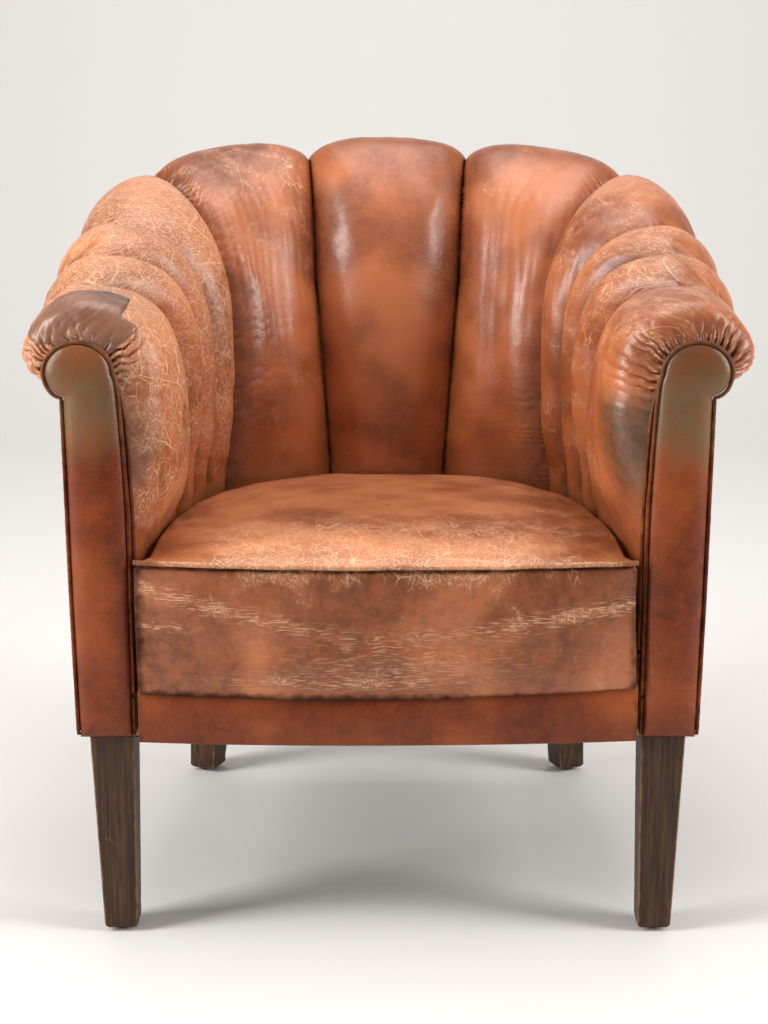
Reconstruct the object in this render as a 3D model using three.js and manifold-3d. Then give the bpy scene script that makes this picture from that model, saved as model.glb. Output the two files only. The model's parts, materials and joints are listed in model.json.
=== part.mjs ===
// A worn leather club chair with a fluted tub back, in millimetres, +Z up and +Y towards the back.
// The chair is laid out with its arm fronts on y = 0 and the floor on z = 0. The last lines move it so
// that the origin is on the floor, in the middle of the space that the chair takes.
import * as THREE from 'three';
import { mergeVertices } from 'three/addons/utils/BufferGeometryUtils.js';
import Module from 'manifold-3d';

const wasm = await Module();
wasm.setup();

// ---------- driving dimensions ----------
const GAP = 0.3; // left between pieces that touch
const FRAME_BOTTOM = 229;
const RAIL_HEIGHT = 60;
const RAIL_THICKNESS = 28;
const RAIL_TOP = FRAME_BOTTOM + RAIL_HEIGHT;
const SEAT_RAIL_OFFSETS = [-5 - RAIL_THICKNESS, -5]; // inside the outside cover
const ARM_RAIL_OFFSETS = [-38, -7];
const BOW = 20; // how far the middle of the seat front stands ahead of its ends

// Arm fronts: the wooden stump with its scroll head, and the leather facing on it.
const FACING_THICKNESS = 11;
const FACING_INNER = { bottom: 271, seat: 272, elbow: 273, neck: 279 };
const FACING_OUTER = { bottom: 327.5, seat: 331, elbow: 332.5, notch: 334 };
const FACING_Z = { seat: 379, elbow: 488, neck: 598 };
const SCROLL = { x: 318, z: 622, halfWidth: 34.5, rise: 31 };
const POST_INSET = 9;
const POST_DEPTH = 50;
const PIPING_RADIUS = 2.2;
const PIPING_OFFSET = PIPING_RADIUS + 1.2; // from a facing's edge to the middle of its piping
// Half the width between the two facings' pipings.
const FRONT_CLEAR = FACING_INNER.bottom - PIPING_OFFSET - PIPING_RADIUS - 0.6;

// The tub's inner lining from below the seat (first row), up the inner face, over the roll and under
// it to the tacking line outside (last row). Each row gives the horseshoe's half width at the arms,
// its depth from the arm fronts, how square its corners are, its height at the arm fronts and at the
// back, and how far the pads stand up from it at the arm fronts, the sides and the back.
const TUB_ROWS = [
  { halfWidth: 268, depth: 480, square: 3.0, armZ: 335, backZ: 335, armLoft: 4, sideLoft: 6, backLoft: 6 },
  { halfWidth: 270, depth: 497, square: 3.0, armZ: 420, backZ: 420, armLoft: 18, sideLoft: 20, backLoft: 18 },
  { halfWidth: 272, depth: 520, square: 3.1, armZ: 500, backZ: 520, armLoft: 36, sideLoft: 44, backLoft: 30 },
  { halfWidth: 277, depth: 552, square: 3.4, armZ: 585, backZ: 640, armLoft: 44, sideLoft: 54, backLoft: 32 },
  { halfWidth: 288, depth: 590, square: 4.0, armZ: 632, backZ: 725, armLoft: 46, sideLoft: 50, backLoft: 31 },
  { halfWidth: 318, depth: 630, square: 4.7, armZ: 655, backZ: 778, armLoft: 32, sideLoft: 28, backLoft: 25 },
  { halfWidth: 350, depth: 666, square: 5.1, armZ: 648, backZ: 770, armLoft: 18, sideLoft: 16, backLoft: 14 },
  { halfWidth: 363, depth: 680, square: 5.0, armZ: 630, backZ: 737, armLoft: 6, sideLoft: 6, backLoft: 8 },
  { halfWidth: 338, depth: 655, square: 4.4, armZ: 602, backZ: 690, armLoft: 0, sideLoft: 0, backLoft: 0 },
];
const TUB_END = TUB_ROWS.length - 1;
const HEIGHT_EASE = 1.45; // how the crest climbs from the arms to the back
const LOFT_STATIONS = [0.2, 0.45, 0.7, 0.92]; // back, side, side, arm front

// Stations run along the horseshoe by length: 0 in the middle of the back, 1 at an arm front.
// Each seam between two pads has a station beside the seat, at mid height, on the crest and below
// the roll, at these rows.
const SEAM_ROWS = [1, 3, 5, 8];
const SEAMS = [
  [0.11, 0.125, 0.115, 0.112],
  [0.37, 0.36, 0.355, 0.35],
  [0.455, 0.51, 0.6, 0.61],
  [0.54, 0.615, 0.725, 0.73],
  [0.62, 0.72, 0.85, 0.86],
  [0.998, 0.998, 0.998, 0.998],
];
const SEAM_GAP = 0.0007; // station kept free on each side of a seam
const PAD_CLEAR = 4.6; // between a pad and the lining
const PAD_EDGE = 1.9; // thickness of a pad along its seams
const PAD_ROWS = 12;
const PAD_COLUMNS = 6;

// The outside covers: rows from the bottom edge to the tacking line under the roll.
const OUTSIDE_ROWS = [
  { halfWidth: 327.5, depth: 568, square: 3.6, armZ: 229, backZ: 229 },
  { halfWidth: 331, depth: 598, square: 3.7, armZ: 400, backZ: 430 },
  { halfWidth: 333, depth: 628, square: 3.8, armZ: 520, backZ: 580 },
  { halfWidth: 333.5, depth: 648, square: 3.9, armZ: 597, backZ: 682 },
];
const OUTSIDE_END = OUTSIDE_ROWS.length - 1;
const COVER_THICKNESS = 3;
const OUTSIDE_BACK_STATION = 0.46; // where the outside back meets the outside arms

// Seat.
const SEAT_HALF_WIDTH = 250;
const SEAT_FRONT_HALF_WIDTH = 262;
const SEAT_DEPTH = 456;
const SEAT_SQUARE = 2.45;
const SEAT_CENTRE_Y = 200;
const SEAT_EDGE_Z = 423;
const SEAT_CROWN = 17;
const SEAT_FALL = 13; // how much lower the seat's edge is at the back
const SEAT_FRONT_Y = -14; // the boxing's face at the front corners
const SEAT_SEGMENTS = 40;
const SEAT_FRONT_SEGMENTS = 12;
const BORDER_TOP = 281;
const BORDER_FRONT_Y = -10;
const BORDER_THICKNESS = 6;
const HESSIAN_Z = 371.5;
const HESSIAN_THICKNESS = 1.5;

// Springs and webbing.
const SPRING_WIRE = 2;
const SPRING_TURNS = 4;
const SPRING_STEPS = 28;
const SPRING_END_RADIUS = 50;
const SPRING_WAIST_RADIUS = 34;
const SPRING_XS = [-125, 0, 125];
const SPRING_YS = [110, 270];
const WEB_WIDTH = 50;
const WEB_THICKNESS = 1.5;

// Legs and glides.
const GLIDE_HEIGHT = 4;
const GLIDE_RADIUS = 11;
const LEG_TOP = FRAME_BOTTOM - GAP;
// Legs taper: the middle, width and depth of each end.
const FRONT_LEG = {
  top: { x: 294.5, y: 27, wide: 48, deep: 52 },
  foot: { x: 291, y: 24, wide: 36, deep: 38 },
};
const BACK_LEG = {
  top: { x: 222, y: 486, wide: 44, deep: 40 },
  foot: { x: 235, y: 520, wide: 35, deep: 34 },
};
const BACK_LEG_TURN = THREE.MathUtils.degToRad(25);

const FINISHES = {
  leather: { color: 0x8e4b28, roughness: 0.45, metalness: 0 },
  outsideLeather: { color: 0x7a3c22, roughness: 0.45, metalness: 0 },
  piping: { color: 0xa0643c, roughness: 0.5, metalness: 0 },
  patch: { color: 0x55301f, roughness: 0.5, metalness: 0 },
  oak: { color: 0x46301f, roughness: 0.55, metalness: 0 },
  beech: { color: 0xc79a66, roughness: 0.7, metalness: 0 },
  steel: { color: 0x6f6a63, roughness: 0.45, metalness: 1 },
  jute: { color: 0xa98a5c, roughness: 0.95, metalness: 0 },
  fibre: { color: 0x8a6f4a, roughness: 1, metalness: 0 },
  cambric: { color: 0x24211f, roughness: 0.95, metalness: 0 },
};

const chair = new THREE.Group();

function addPiece(name, geometry, finish) {
  const mesh = new THREE.Mesh(geometry, new THREE.MeshStandardMaterial(FINISHES[finish]));
  mesh.name = name;
  chair.add(mesh);
  return mesh;
}

// ---------- shared geometry ----------
// Half of a horseshoe in plan, from an arm front to the middle of the back.
class HalfHorseshoe extends THREE.Curve {
  constructor(halfWidth, depth, square) {
    super();
    this.halfWidth = halfWidth;
    this.depth = depth;
    this.square = square;
  }

  getPoint(t, target = new THREE.Vector3()) {
    const angle = (t * Math.PI) / 2;
    const across = (Math.cos(angle) / this.halfWidth) ** this.square;
    const back = (Math.sin(angle) / this.depth) ** this.square;
    const radius = (across + back) ** (-1 / this.square);
    return target.set(radius * Math.cos(angle), radius * Math.sin(angle), 0);
  }
}

// A wall whose plan and height change from row to row. point(row, station, outward) gives a place on it.
class Wall {
  constructor(rows) {
    this.keys = Object.keys(rows[0]);
    const numbers = rows.flatMap((row) => this.keys.map((key) => row[key]));
    this.blend = new THREE.CubicInterpolant(rows.map((_, index) => index), numbers, this.keys.length);
    this.curves = new Map();
  }

  row(level) {
    const values = this.blend.evaluate(level);
    return Object.fromEntries(this.keys.map((key, index) => [key, values[index]]));
  }

  curve(level, outward) {
    const id = `${level} ${outward}`;
    if (!this.curves.has(id)) {
      const { halfWidth, depth, square } = this.row(level);
      this.curves.set(id, new HalfHorseshoe(halfWidth + outward, depth + outward, square));
    }
    return this.curves.get(id);
  }

  point(level, station, outward = 0) {
    const { armZ, backZ } = this.row(level);
    const place = this.curve(level, outward).getPointAt(1 - Math.min(1, Math.abs(station)));
    const climb = Math.max(0, Math.cos((station * Math.PI) / 2)) ** HEIGHT_EASE;
    return new THREE.Vector3(Math.sign(station) * place.x, place.y, armZ + (backZ - armZ) * climb);
  }

  // The direction towards the sitter, square to the wall.
  normal(level, station, lastLevel) {
    const step = 0.01;
    const low = Math.max(0, level - step);
    const high = Math.min(lastLevel, level + step);
    const left = Math.max(-1, station - step);
    const right = Math.min(1, station + step);
    const along = this.point(level, right).sub(this.point(level, left));
    const up = this.point(high, station).sub(this.point(low, station));
    return along.cross(up).normalize();
  }
}

const tub = new Wall(TUB_ROWS);
const outside = new Wall(OUTSIDE_ROWS);

// A box cut into a grid, whose corners are then moved by place(x, y, z), each from 0 to 1.
function shapedBox(columns, rows, layers, place) {
  const geometry = new THREE.BoxGeometry(1, 1, 1, columns, rows, layers);
  const position = geometry.attributes.position;
  for (let i = 0; i < position.count; i += 1) {
    const moved = place(position.getX(i) + 0.5, position.getY(i) + 0.5, position.getZ(i) + 0.5);
    position.setXYZ(i, moved.x, moved.y, moved.z);
  }
  return geometry;
}

function lerp(from, to, share) {
  return from + (to - from) * share;
}

// Numbers from first to last in equal steps.
function spread(first, last, steps) {
  return Array.from({ length: steps + 1 }, (_, index) => lerp(first, last, index / steps));
}

// A bent board that follows a horseshoe: stations first to last, between two plan offsets and two heights.
function bentBoard(wall, level, stations, offsets, heights, segments) {
  return shapedBox(segments, 1, 1, (along, up, out) => {
    const point = wall.point(level, lerp(stations[0], stations[1], along), lerp(offsets[1], offsets[0], out));
    point.z += lerp(heights[0], heights[1], up);
    return point;
  });
}

// A curved panel: stations first to last, rows first to last, between two plan offsets.
function curvedPanel(wall, stations, levels, offsets, columns, rows) {
  return shapedBox(columns, rows, 1, (along, up, out) => {
    const level = lerp(levels[0], levels[1], up);
    return wall.point(level, lerp(stations[0], stations[1], along), lerp(offsets[1], offsets[0], out));
  });
}

function tubeAlong(points, radius, steps, sides) {
  const section = new THREE.Shape();
  for (let i = 0; i < sides; i += 1) {
    const angle = (i / sides) * Math.PI * 2;
    const corner = [radius * Math.cos(angle), radius * Math.sin(angle)];
    if (i === 0) section.moveTo(...corner);
    else section.lineTo(...corner);
  }
  const extrudePath = new THREE.CatmullRomCurve3(points);
  return new THREE.ExtrudeGeometry(section, { extrudePath, steps, bevelEnabled: false });
}

function mergedPositions(geometry) {
  const bare = geometry.clone();
  bare.deleteAttribute('normal');
  bare.deleteAttribute('uv');
  return mergeVertices(bare, 1e-3);
}

function toSolid(geometry) {
  const merged = mergedPositions(geometry);
  return new wasm.Manifold(new wasm.Mesh({
    numProp: 3,
    vertProperties: new Float32Array(merged.attributes.position.array),
    triVerts: new Uint32Array(merged.index.array),
  }));
}

function fromSolid(solid) {
  const mesh = solid.getMesh();
  const geometry = new THREE.BufferGeometry();
  geometry.setAttribute('position', new THREE.BufferAttribute(mesh.vertProperties, 3));
  geometry.setIndex(new THREE.BufferAttribute(mesh.triVerts, 1));
  geometry.computeVertexNormals();
  return geometry;
}

// How far the bowed seat front stands ahead of its ends at x.
function bowAt(x, halfWidth) {
  return BOW * (1 - (x / halfWidth) ** 2);
}

// ---------- legs ----------
function addLeg(name, side, leg, turn) {
  const geometry = shapedBox(1, 1, 1, (x, y, z) => {
    const { top, foot } = leg;
    const wide = lerp(foot.wide, top.wide, z) * (x - 0.5);
    const deep = lerp(foot.deep, top.deep, z) * (y - 0.5);
    const corner = new THREE.Vector2(wide, deep).rotateAround(new THREE.Vector2(), turn * side);
    const centreX = side * lerp(foot.x, top.x, z);
    const centreY = lerp(foot.y, top.y, z);
    return new THREE.Vector3(centreX + corner.x, centreY + corner.y, lerp(GLIDE_HEIGHT + GAP, LEG_TOP, z));
  });
  addPiece(name, geometry, 'oak');
}

function addGlide(name, side, leg) {
  const profile = [
    new THREE.Vector2(0, 0),
    new THREE.Vector2(GLIDE_RADIUS - 3, 0),
    new THREE.Vector2(GLIDE_RADIUS, GLIDE_HEIGHT / 2),
    new THREE.Vector2(GLIDE_RADIUS, GLIDE_HEIGHT),
    new THREE.Vector2(0, GLIDE_HEIGHT),
  ];
  const glide = addPiece(name, new THREE.LatheGeometry(profile, 12), 'steel');
  glide.rotation.x = Math.PI / 2;
  glide.position.set(side * leg.foot.x, leg.foot.y, 0);
}

for (const [word, side] of [['left', -1], ['right', 1]]) {
  addLeg(`leg_front_${word}`, side, FRONT_LEG, 0);
  addGlide(`glide_front_${word}`, side, FRONT_LEG);
  addLeg(`leg_back_${word}`, side, BACK_LEG, BACK_LEG_TURN);
  addGlide(`glide_back_${word}`, side, BACK_LEG);
}

// ---------- wooden frame ----------
// The outline of an arm front, moved outwards all round by grow.
function armOutline(side, grow) {
  const outline = new THREE.Shape();
  const { bottom, seat, elbow, neck } = FACING_INNER;
  const x = (value) => side * value;
  outline.moveTo(x(bottom - grow), FRAME_BOTTOM);
  outline.lineTo(x(FACING_OUTER.bottom + grow), FRAME_BOTTOM);
  outline.lineTo(x(FACING_OUTER.seat + grow), FACING_Z.seat);
  outline.lineTo(x(FACING_OUTER.elbow + grow), FACING_Z.elbow);
  outline.lineTo(x(FACING_OUTER.notch + grow), FACING_Z.neck - grow);
  outline.quadraticCurveTo(
    x(SCROLL.x + SCROLL.halfWidth - 3 + grow), FACING_Z.neck + 3 - grow,
    x(SCROLL.x + SCROLL.halfWidth + grow), SCROLL.z,
  );
  const turns = side > 0 ? [0, Math.PI, false] : [Math.PI, 0, true];
  outline.absellipse(x(SCROLL.x), SCROLL.z, SCROLL.halfWidth + grow, SCROLL.rise + grow, ...turns, 0);
  outline.splineThru([
    new THREE.Vector2(x(neck - grow), FACING_Z.neck),
    new THREE.Vector2(x(elbow - grow), FACING_Z.elbow),
    new THREE.Vector2(x(seat - grow), FACING_Z.seat),
  ]);
  return outline;
}

// A slab with the arm front's outline, from yFront to yBack.
function armSlab(side, grow, yFront, yBack, bevel) {
  const geometry = new THREE.ExtrudeGeometry(armOutline(side, grow - bevel), {
    depth: yBack - yFront - bevel * 2,
    curveSegments: 10,
    bevelEnabled: bevel > 0,
    bevelThickness: bevel,
    bevelSize: bevel,
    bevelSegments: 1,
  });
  geometry.rotateX(Math.PI / 2);
  geometry.translate(0, yBack - bevel, 0);
  return geometry;
}

function addFrame(word, side) {
  addPiece(`arm_post_${word}`, armSlab(side, -POST_INSET, GAP, POST_DEPTH, 0), 'beech');
  const railFront = 0.905;
  const railBack = 0.52;
  const railStations = [side * railFront, side * railBack].sort((a, b) => a - b);
  addPiece(
    `side_rail_${word}`,
    bentBoard(outside, 0, railStations, SEAT_RAIL_OFFSETS, [0, RAIL_HEIGHT], 5),
    'beech',
  );
  const armStations = [side * 0.925, side * 0.47].sort((a, b) => a - b);
  const armRail = bentBoard(outside, OUTSIDE_END, armStations, ARM_RAIL_OFFSETS, [-5, 36], 8);
  addPiece(`arm_rail_${word}`, armRail, 'beech');
  const uprightStations = [side * 0.33, side * 0.41].sort((a, b) => a - b);
  const upright = shapedBox(2, 4, 1, (along, up, out) => {
    const level = lerp(0, OUTSIDE_END, up);
    const point = outside.point(level, lerp(...uprightStations, along), lerp(-9, -32, out));
    if (up === 0) point.z = RAIL_TOP + GAP;
    if (up === 1) point.z -= 6 + GAP;
    return point;
  });
  addPiece(`back_upright_${word}`, upright, 'beech');
  const block = new THREE.Shape([
    new THREE.Vector2(side * 276, 24),
    new THREE.Vector2(side * 276, 96),
    new THREE.Vector2(side * 256, 96),
    new THREE.Vector2(side * 206, 42),
    new THREE.Vector2(side * 206, 24),
  ]);
  const blockGeometry = new THREE.ExtrudeGeometry(block, { depth: 44, bevelEnabled: false });
  blockGeometry.translate(0, 0, FRAME_BOTTOM + 6);
  addPiece(`corner_block_${word}`, blockGeometry, 'beech');
}

function addCrossRails() {
  const end = FACING_INNER.bottom + POST_INSET - GAP;
  const shoulder = FRONT_CLEAR - 1;
  const xs = [-end, -shoulder - 1, ...spread(-shoulder, shoulder, 10), shoulder + 1, end];
  const faceY = BORDER_FRONT_Y + BORDER_THICKNESS + GAP;
  const backY = 23;
  const frontRail = shapedBox(xs.length - 1, 1, 1, (along, depth, up) => {
    const x = xs[Math.round(along * (xs.length - 1))];
    const front = Math.abs(x) > shoulder ? GAP : faceY - bowAt(x, FRONT_CLEAR);
    return new THREE.Vector3(x, lerp(front, backY, depth), lerp(FRAME_BOTTOM, BORDER_TOP - 4, up));
  });
  addPiece('front_rail', frontRail, 'beech');
  const backRail = bentBoard(outside, 0, [-0.518, 0.518], SEAT_RAIL_OFFSETS, [0, RAIL_HEIGHT], 14);
  addPiece('back_rail', backRail, 'beech');
  const topRail = bentBoard(outside, OUTSIDE_END, [-0.468, 0.468], ARM_RAIL_OFFSETS, [-5, 40], 14);
  addPiece('back_top_rail', topRail, 'beech');
}

// ---------- seat springing ----------
function strap(name, xs, ys, z) {
  const geometry = new THREE.BoxGeometry(xs[1] - xs[0], ys[1] - ys[0], WEB_THICKNESS);
  const piece = addPiece(name, geometry, 'jute');
  piece.position.set((xs[0] + xs[1]) / 2, (ys[0] + ys[1]) / 2, z + WEB_THICKNESS / 2);
}

function addWebbing() {
  const upperZ = FRAME_BOTTOM - GAP - WEB_THICKNESS;
  const lowerZ = upperZ - GAP - WEB_THICKNESS;
  SPRING_XS.forEach((x, index) => {
    strap(`webbing_long_${index + 1}`, [x - WEB_WIDTH / 2, x + WEB_WIDTH / 2], [-2, 540], upperZ);
  });
  SPRING_YS.forEach((y, index) => {
    strap(`webbing_cross_${index + 1}`, [-308, 308], [y - WEB_WIDTH / 2, y + WEB_WIDTH / 2], lowerZ);
  });
}

function springPoints(bottom, top) {
  const points = [];
  for (let i = 0; i <= SPRING_STEPS; i += 1) {
    const share = i / SPRING_STEPS;
    const angle = share * SPRING_TURNS * Math.PI * 2;
    const waist = Math.sin(share * Math.PI);
    const radius = lerp(SPRING_END_RADIUS, SPRING_WAIST_RADIUS, waist);
    const z = lerp(bottom, top, share);
    points.push(new THREE.Vector3(radius * Math.cos(angle), radius * Math.sin(angle), z));
  }
  return points;
}

function addSprings() {
  const bottom = FRAME_BOTTOM + SPRING_WIRE + GAP;
  const top = HESSIAN_Z - SPRING_WIRE - GAP;
  let number = 1;
  for (const y of SPRING_YS) {
    for (const x of SPRING_XS) {
      const geometry = tubeAlong(springPoints(bottom, top), SPRING_WIRE, SPRING_STEPS, 4);
      addPiece(`seat_spring_${number}`, geometry, 'steel').position.set(x, y, 0);
      number += 1;
    }
  }
}

// ---------- seat ----------
const seatBack = new HalfHorseshoe(SEAT_HALF_WIDTH, SEAT_DEPTH, SEAT_SQUARE);

// The seat's outline in plan, share 0 to 1 from the front left corner along the front and round the back.
function seatOutline(share, inset) {
  const frontShare = SEAT_FRONT_SEGMENTS / SEAT_SEGMENTS;
  if (share <= frontShare) {
    const x = lerp(-SEAT_FRONT_HALF_WIDTH, SEAT_FRONT_HALF_WIDTH, share / frontShare);
    const y = SEAT_FRONT_Y - bowAt(x, SEAT_FRONT_HALF_WIDTH);
    return new THREE.Vector2(x - (inset * x) / SEAT_FRONT_HALF_WIDTH, y + inset);
  }
  const round = (share - frontShare) / (1 - frontShare);
  const side = round < 0.5 ? 1 : -1;
  const place = seatBack.getPointAt(1 - Math.abs(2 * round - 1));
  const pull = new THREE.Vector2(place.x, place.y - SEAT_CENTRE_Y).normalize().multiplyScalar(inset);
  return new THREE.Vector2(side * (place.x - pull.x), place.y - pull.y);
}

// Turns a half section (share of the way out, height) into the seat's plan. inset pulls its rim in.
function seatForm(section) {
  const geometry = new THREE.LatheGeometry(section.map((p) => new THREE.Vector2(p.out, p.z)), SEAT_SEGMENTS);
  const position = geometry.attributes.position;
  const perTurn = section.length;
  for (let i = 0; i < position.count; i += 1) {
    const { out, z, inset, fall = 0 } = section[i % perTurn];
    const turn = (Math.floor(i / perTurn) % SEAT_SEGMENTS) / SEAT_SEGMENTS;
    const rim = seatOutline(turn, inset);
    const y = lerp(SEAT_CENTRE_Y, rim.y, out);
    position.setXYZ(i, rim.x * out, y, z - (fall * SEAT_FALL * Math.max(0, y)) / SEAT_DEPTH);
  }
  return geometry;
}

function crownZ(out, drop) {
  return SEAT_EDGE_Z + SEAT_CROWN * (1 - out ** 2) - drop;
}

// From the middle of the crown out to the rim, as seatForm's sections need it.
function crownSection(inset, drop) {
  return [0, 0.4, 0.75, 1].map((out) => ({ out, z: crownZ(out, drop), inset, fall: 1 }));
}

function addSeat() {
  const stuffingInset = COVER_THICKNESS + GAP;
  const hessianTop = HESSIAN_Z + HESSIAN_THICKNESS;
  const coverBottom = BORDER_TOP + GAP;
  const stuffing = [
    { out: 0, z: hessianTop + GAP, inset: stuffingInset },
    { out: 1, z: hessianTop + GAP, inset: stuffingInset },
    ...crownSection(stuffingInset, stuffingInset).reverse(),
  ];
  addPiece('seat_stuffing', seatForm(stuffing), 'fibre');
  const hessian = [
    { out: 0, z: HESSIAN_Z, inset: stuffingInset },
    { out: 1, z: HESSIAN_Z, inset: stuffingInset },
    { out: 1, z: hessianTop, inset: stuffingInset },
    { out: 0, z: hessianTop, inset: stuffingInset },
  ];
  addPiece('spring_hessian', seatForm(hessian), 'jute');
  const cover = [
    ...crownSection(COVER_THICKNESS, COVER_THICKNESS),
    { out: 1, z: coverBottom, inset: COVER_THICKNESS },
    { out: 1, z: coverBottom, inset: 0 },
    { out: 1, z: (coverBottom + SEAT_EDGE_Z) / 2, inset: -2, fall: 0.5 },
    ...crownSection(0, 0).reverse(),
  ];
  addPiece('seat_cover', seatForm(cover), 'leather');
}

function addSeatFront() {
  const reach = SEAT_FRONT_HALF_WIDTH - 1;
  const points = spread(-reach, reach, SEAT_FRONT_SEGMENTS).map((x) => {
    const y = SEAT_FRONT_Y - PIPING_RADIUS - 1.5 - bowAt(x, SEAT_FRONT_HALF_WIDTH);
    return new THREE.Vector3(x, y, SEAT_EDGE_Z + 1);
  });
  addPiece('seat_piping', tubeAlong(points, PIPING_RADIUS, 16, 6), 'piping');
  const border = shapedBox(12, 1, 1, (along, depth, up) => {
    const x = lerp(-FRONT_CLEAR, FRONT_CLEAR, along);
    const front = BORDER_FRONT_Y - bowAt(x, FRONT_CLEAR);
    return new THREE.Vector3(x, front + BORDER_THICKNESS * depth, lerp(FRAME_BOTTOM - 6, BORDER_TOP, up));
  });
  addPiece('front_border', border, 'outsideLeather');
}

// ---------- fluted tub ----------
const seamCurves = SEAMS.map((stations) => new THREE.LinearInterpolant(SEAM_ROWS, stations, 1));

function seamStation(seam, level) {
  return seamCurves[seam].evaluate(THREE.MathUtils.clamp(level, SEAM_ROWS[0], SEAM_ROWS.at(-1)))[0];
}

// A pad's left and right seam at a row. Pad 0 is in the middle of the back, -5 and 5 are at the arm fronts.
function padStations(pad, level) {
  if (pad === 0) return [-seamStation(0, level), seamStation(0, level)];
  const near = seamStation(Math.abs(pad) - 1, level);
  const far = seamStation(Math.abs(pad), level);
  return pad > 0 ? [near, far] : [-far, -near];
}

// How full a pad is at a share of its width: 0 at a seam, 1 at the middle.
function padFullness(pad, share, level) {
  const across = 2 * share - 1;
  const channel = (1 - Math.abs(across) ** 2.2) ** 0.6;
  if (Math.abs(pad) < 5) return channel;
  const towardsFront = pad > 0 ? share : 1 - share;
  const low = THREE.MathUtils.smoothstep(level, 1, 3);
  const front = (1 - towardsFront ** lerp(1, 12, low)) ** lerp(1, 0.5, low);
  return towardsFront < 0.5 ? Math.min(channel, front) : front;
}

function loftAt(level, station) {
  const { armLoft, sideLoft, backLoft } = tub.row(level);
  const along = new THREE.LinearInterpolant(LOFT_STATIONS, [backLoft, sideLoft, sideLoft, armLoft], 1);
  return along.evaluate(THREE.MathUtils.clamp(Math.abs(station), LOFT_STATIONS[0], LOFT_STATIONS.at(-1)))[0];
}

// A place on a pad: share of its width, row, and height above the pad's back from 0 to 1.
function padPoint(pad, share, level, height, proud = 0) {
  const [left, right] = padStations(pad, level);
  const station = lerp(left + SEAM_GAP, right - SEAM_GAP, share);
  const loft = loftAt(level, station) * padFullness(pad, share, level);
  const above = PAD_CLEAR + (PAD_EDGE + loft) * height + proud;
  return tub.point(level, station).addScaledVector(tub.normal(level, station, TUB_END), above);
}

function addPads() {
  for (let pad = -5; pad <= 5; pad += 1) {
    const word = pad < 0 ? `left_${-pad}` : `right_${pad}`;
    const geometry = shapedBox(PAD_COLUMNS, PAD_ROWS, 1, (share, up, height) => (
      padPoint(pad, share, up * TUB_END, height)
    ));
    addPiece(pad === 0 ? 'pad_centre' : `pad_${word}`, geometry, 'leather');
  }
}

// The patch glued over the front of the left arm's roll. Its grid is the pad's own.
function addPatch() {
  const columns = [0, 3];
  const rows = [6, 9];
  const geometry = shapedBox(columns[1] - columns[0], rows[1] - rows[0], 1, (across, up, height) => {
    const share = Math.max(lerp(columns[0], columns[1], across) / PAD_COLUMNS, 0.02);
    const level = (lerp(rows[0], rows[1], up) / PAD_ROWS) * TUB_END;
    return padPoint(-5, share, level, 1, 0.6 + 1.4 * height);
  });
  addPiece('arm_patch_left', geometry, 'patch');
}

function addLining() {
  const geometry = shapedBox(22, PAD_ROWS, 1, (along, up, front) => {
    const station = lerp(-0.99, 0.99, along);
    const level = up * TUB_END;
    const normal = tub.normal(level, station, TUB_END);
    return tub.point(level, station).addScaledVector(normal, -2 + 2 * front);
  });
  addPiece('tub_lining', geometry, 'jute');
}

// ---------- covers ----------
function addOutsideCovers() {
  const corner = OUTSIDE_BACK_STATION;
  const offsets = [-COVER_THICKNESS, 0];
  const levels = [0, OUTSIDE_END];
  addPiece('outside_back', curvedPanel(outside, [-corner, corner], levels, offsets, 16, 3), 'outsideLeather');
  const near = corner + SEAM_GAP;
  const front = 0.998;
  for (const [word, stations] of [['right', [near, front]], ['left', [-front, -near]]]) {
    const panel = curvedPanel(outside, stations, levels, offsets, 8, 3);
    addPiece(`outside_arm_${word}`, panel, 'outsideLeather');
  }
}

function addFacing(word, side) {
  addPiece(`facing_${word}`, armSlab(side, 0, -FACING_THICKNESS, 0, 2), 'outsideLeather');
  const outline = armOutline(side, PIPING_OFFSET);
  const start = new THREE.Vector2(side * (FACING_OUTER.bottom + PIPING_OFFSET), FRAME_BOTTOM + 2);
  const end = new THREE.Vector2(side * (FACING_INNER.bottom - PIPING_OFFSET), FRAME_BOTTOM + 2);
  const around = outline.getSpacedPoints(90).filter((point) => point.y > FRAME_BOTTOM + 10);
  const middleY = -FACING_THICKNESS / 2;
  const path = [start, ...around, end].map((point) => new THREE.Vector3(point.x, middleY, point.y));
  addPiece(`facing_piping_${word}`, tubeAlong(path, PIPING_RADIUS, 66, 4), 'piping');
}

function addDustCover() {
  const z = FRAME_BOTTOM - 2 * (WEB_THICKNESS + GAP) - 2;
  const segments = 24;
  const corners = [];
  for (let i = 0; i <= segments; i += 1) {
    const point = outside.point(0, lerp(-1, 1, i / segments), -9);
    corners.push(new THREE.Vector2(point.x, point.y));
  }
  const plate = new THREE.ExtrudeGeometry(new THREE.Shape(corners), { depth: 1.2, bevelEnabled: false });
  plate.translate(0, 0, z);
  let solid = toSolid(plate);
  const frontCut = { x: 309, y: -4, wide: 90, deep: 120 };
  const backCut = { x: BACK_LEG.top.x, y: BACK_LEG.top.y, wide: 60, deep: 56 };
  for (const side of [-1, 1]) {
    for (const { x, y, wide, deep } of [frontCut, backCut]) {
      const cut = new THREE.BoxGeometry(wide, deep, 20);
      cut.translate(side * x, y, z);
      solid = solid.subtract(toSolid(cut));
    }
  }
  addPiece('dust_cover', fromSolid(solid), 'cambric');
}

for (const [word, side] of [['left', -1], ['right', 1]]) {
  addFrame(word, side);
  addFacing(word, side);
}
addCrossRails();
addWebbing();
addSprings();
addSeat();
addSeatFront();
addLining();
addPads();
addPatch();
addOutsideCovers();
addDustCover();

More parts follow.
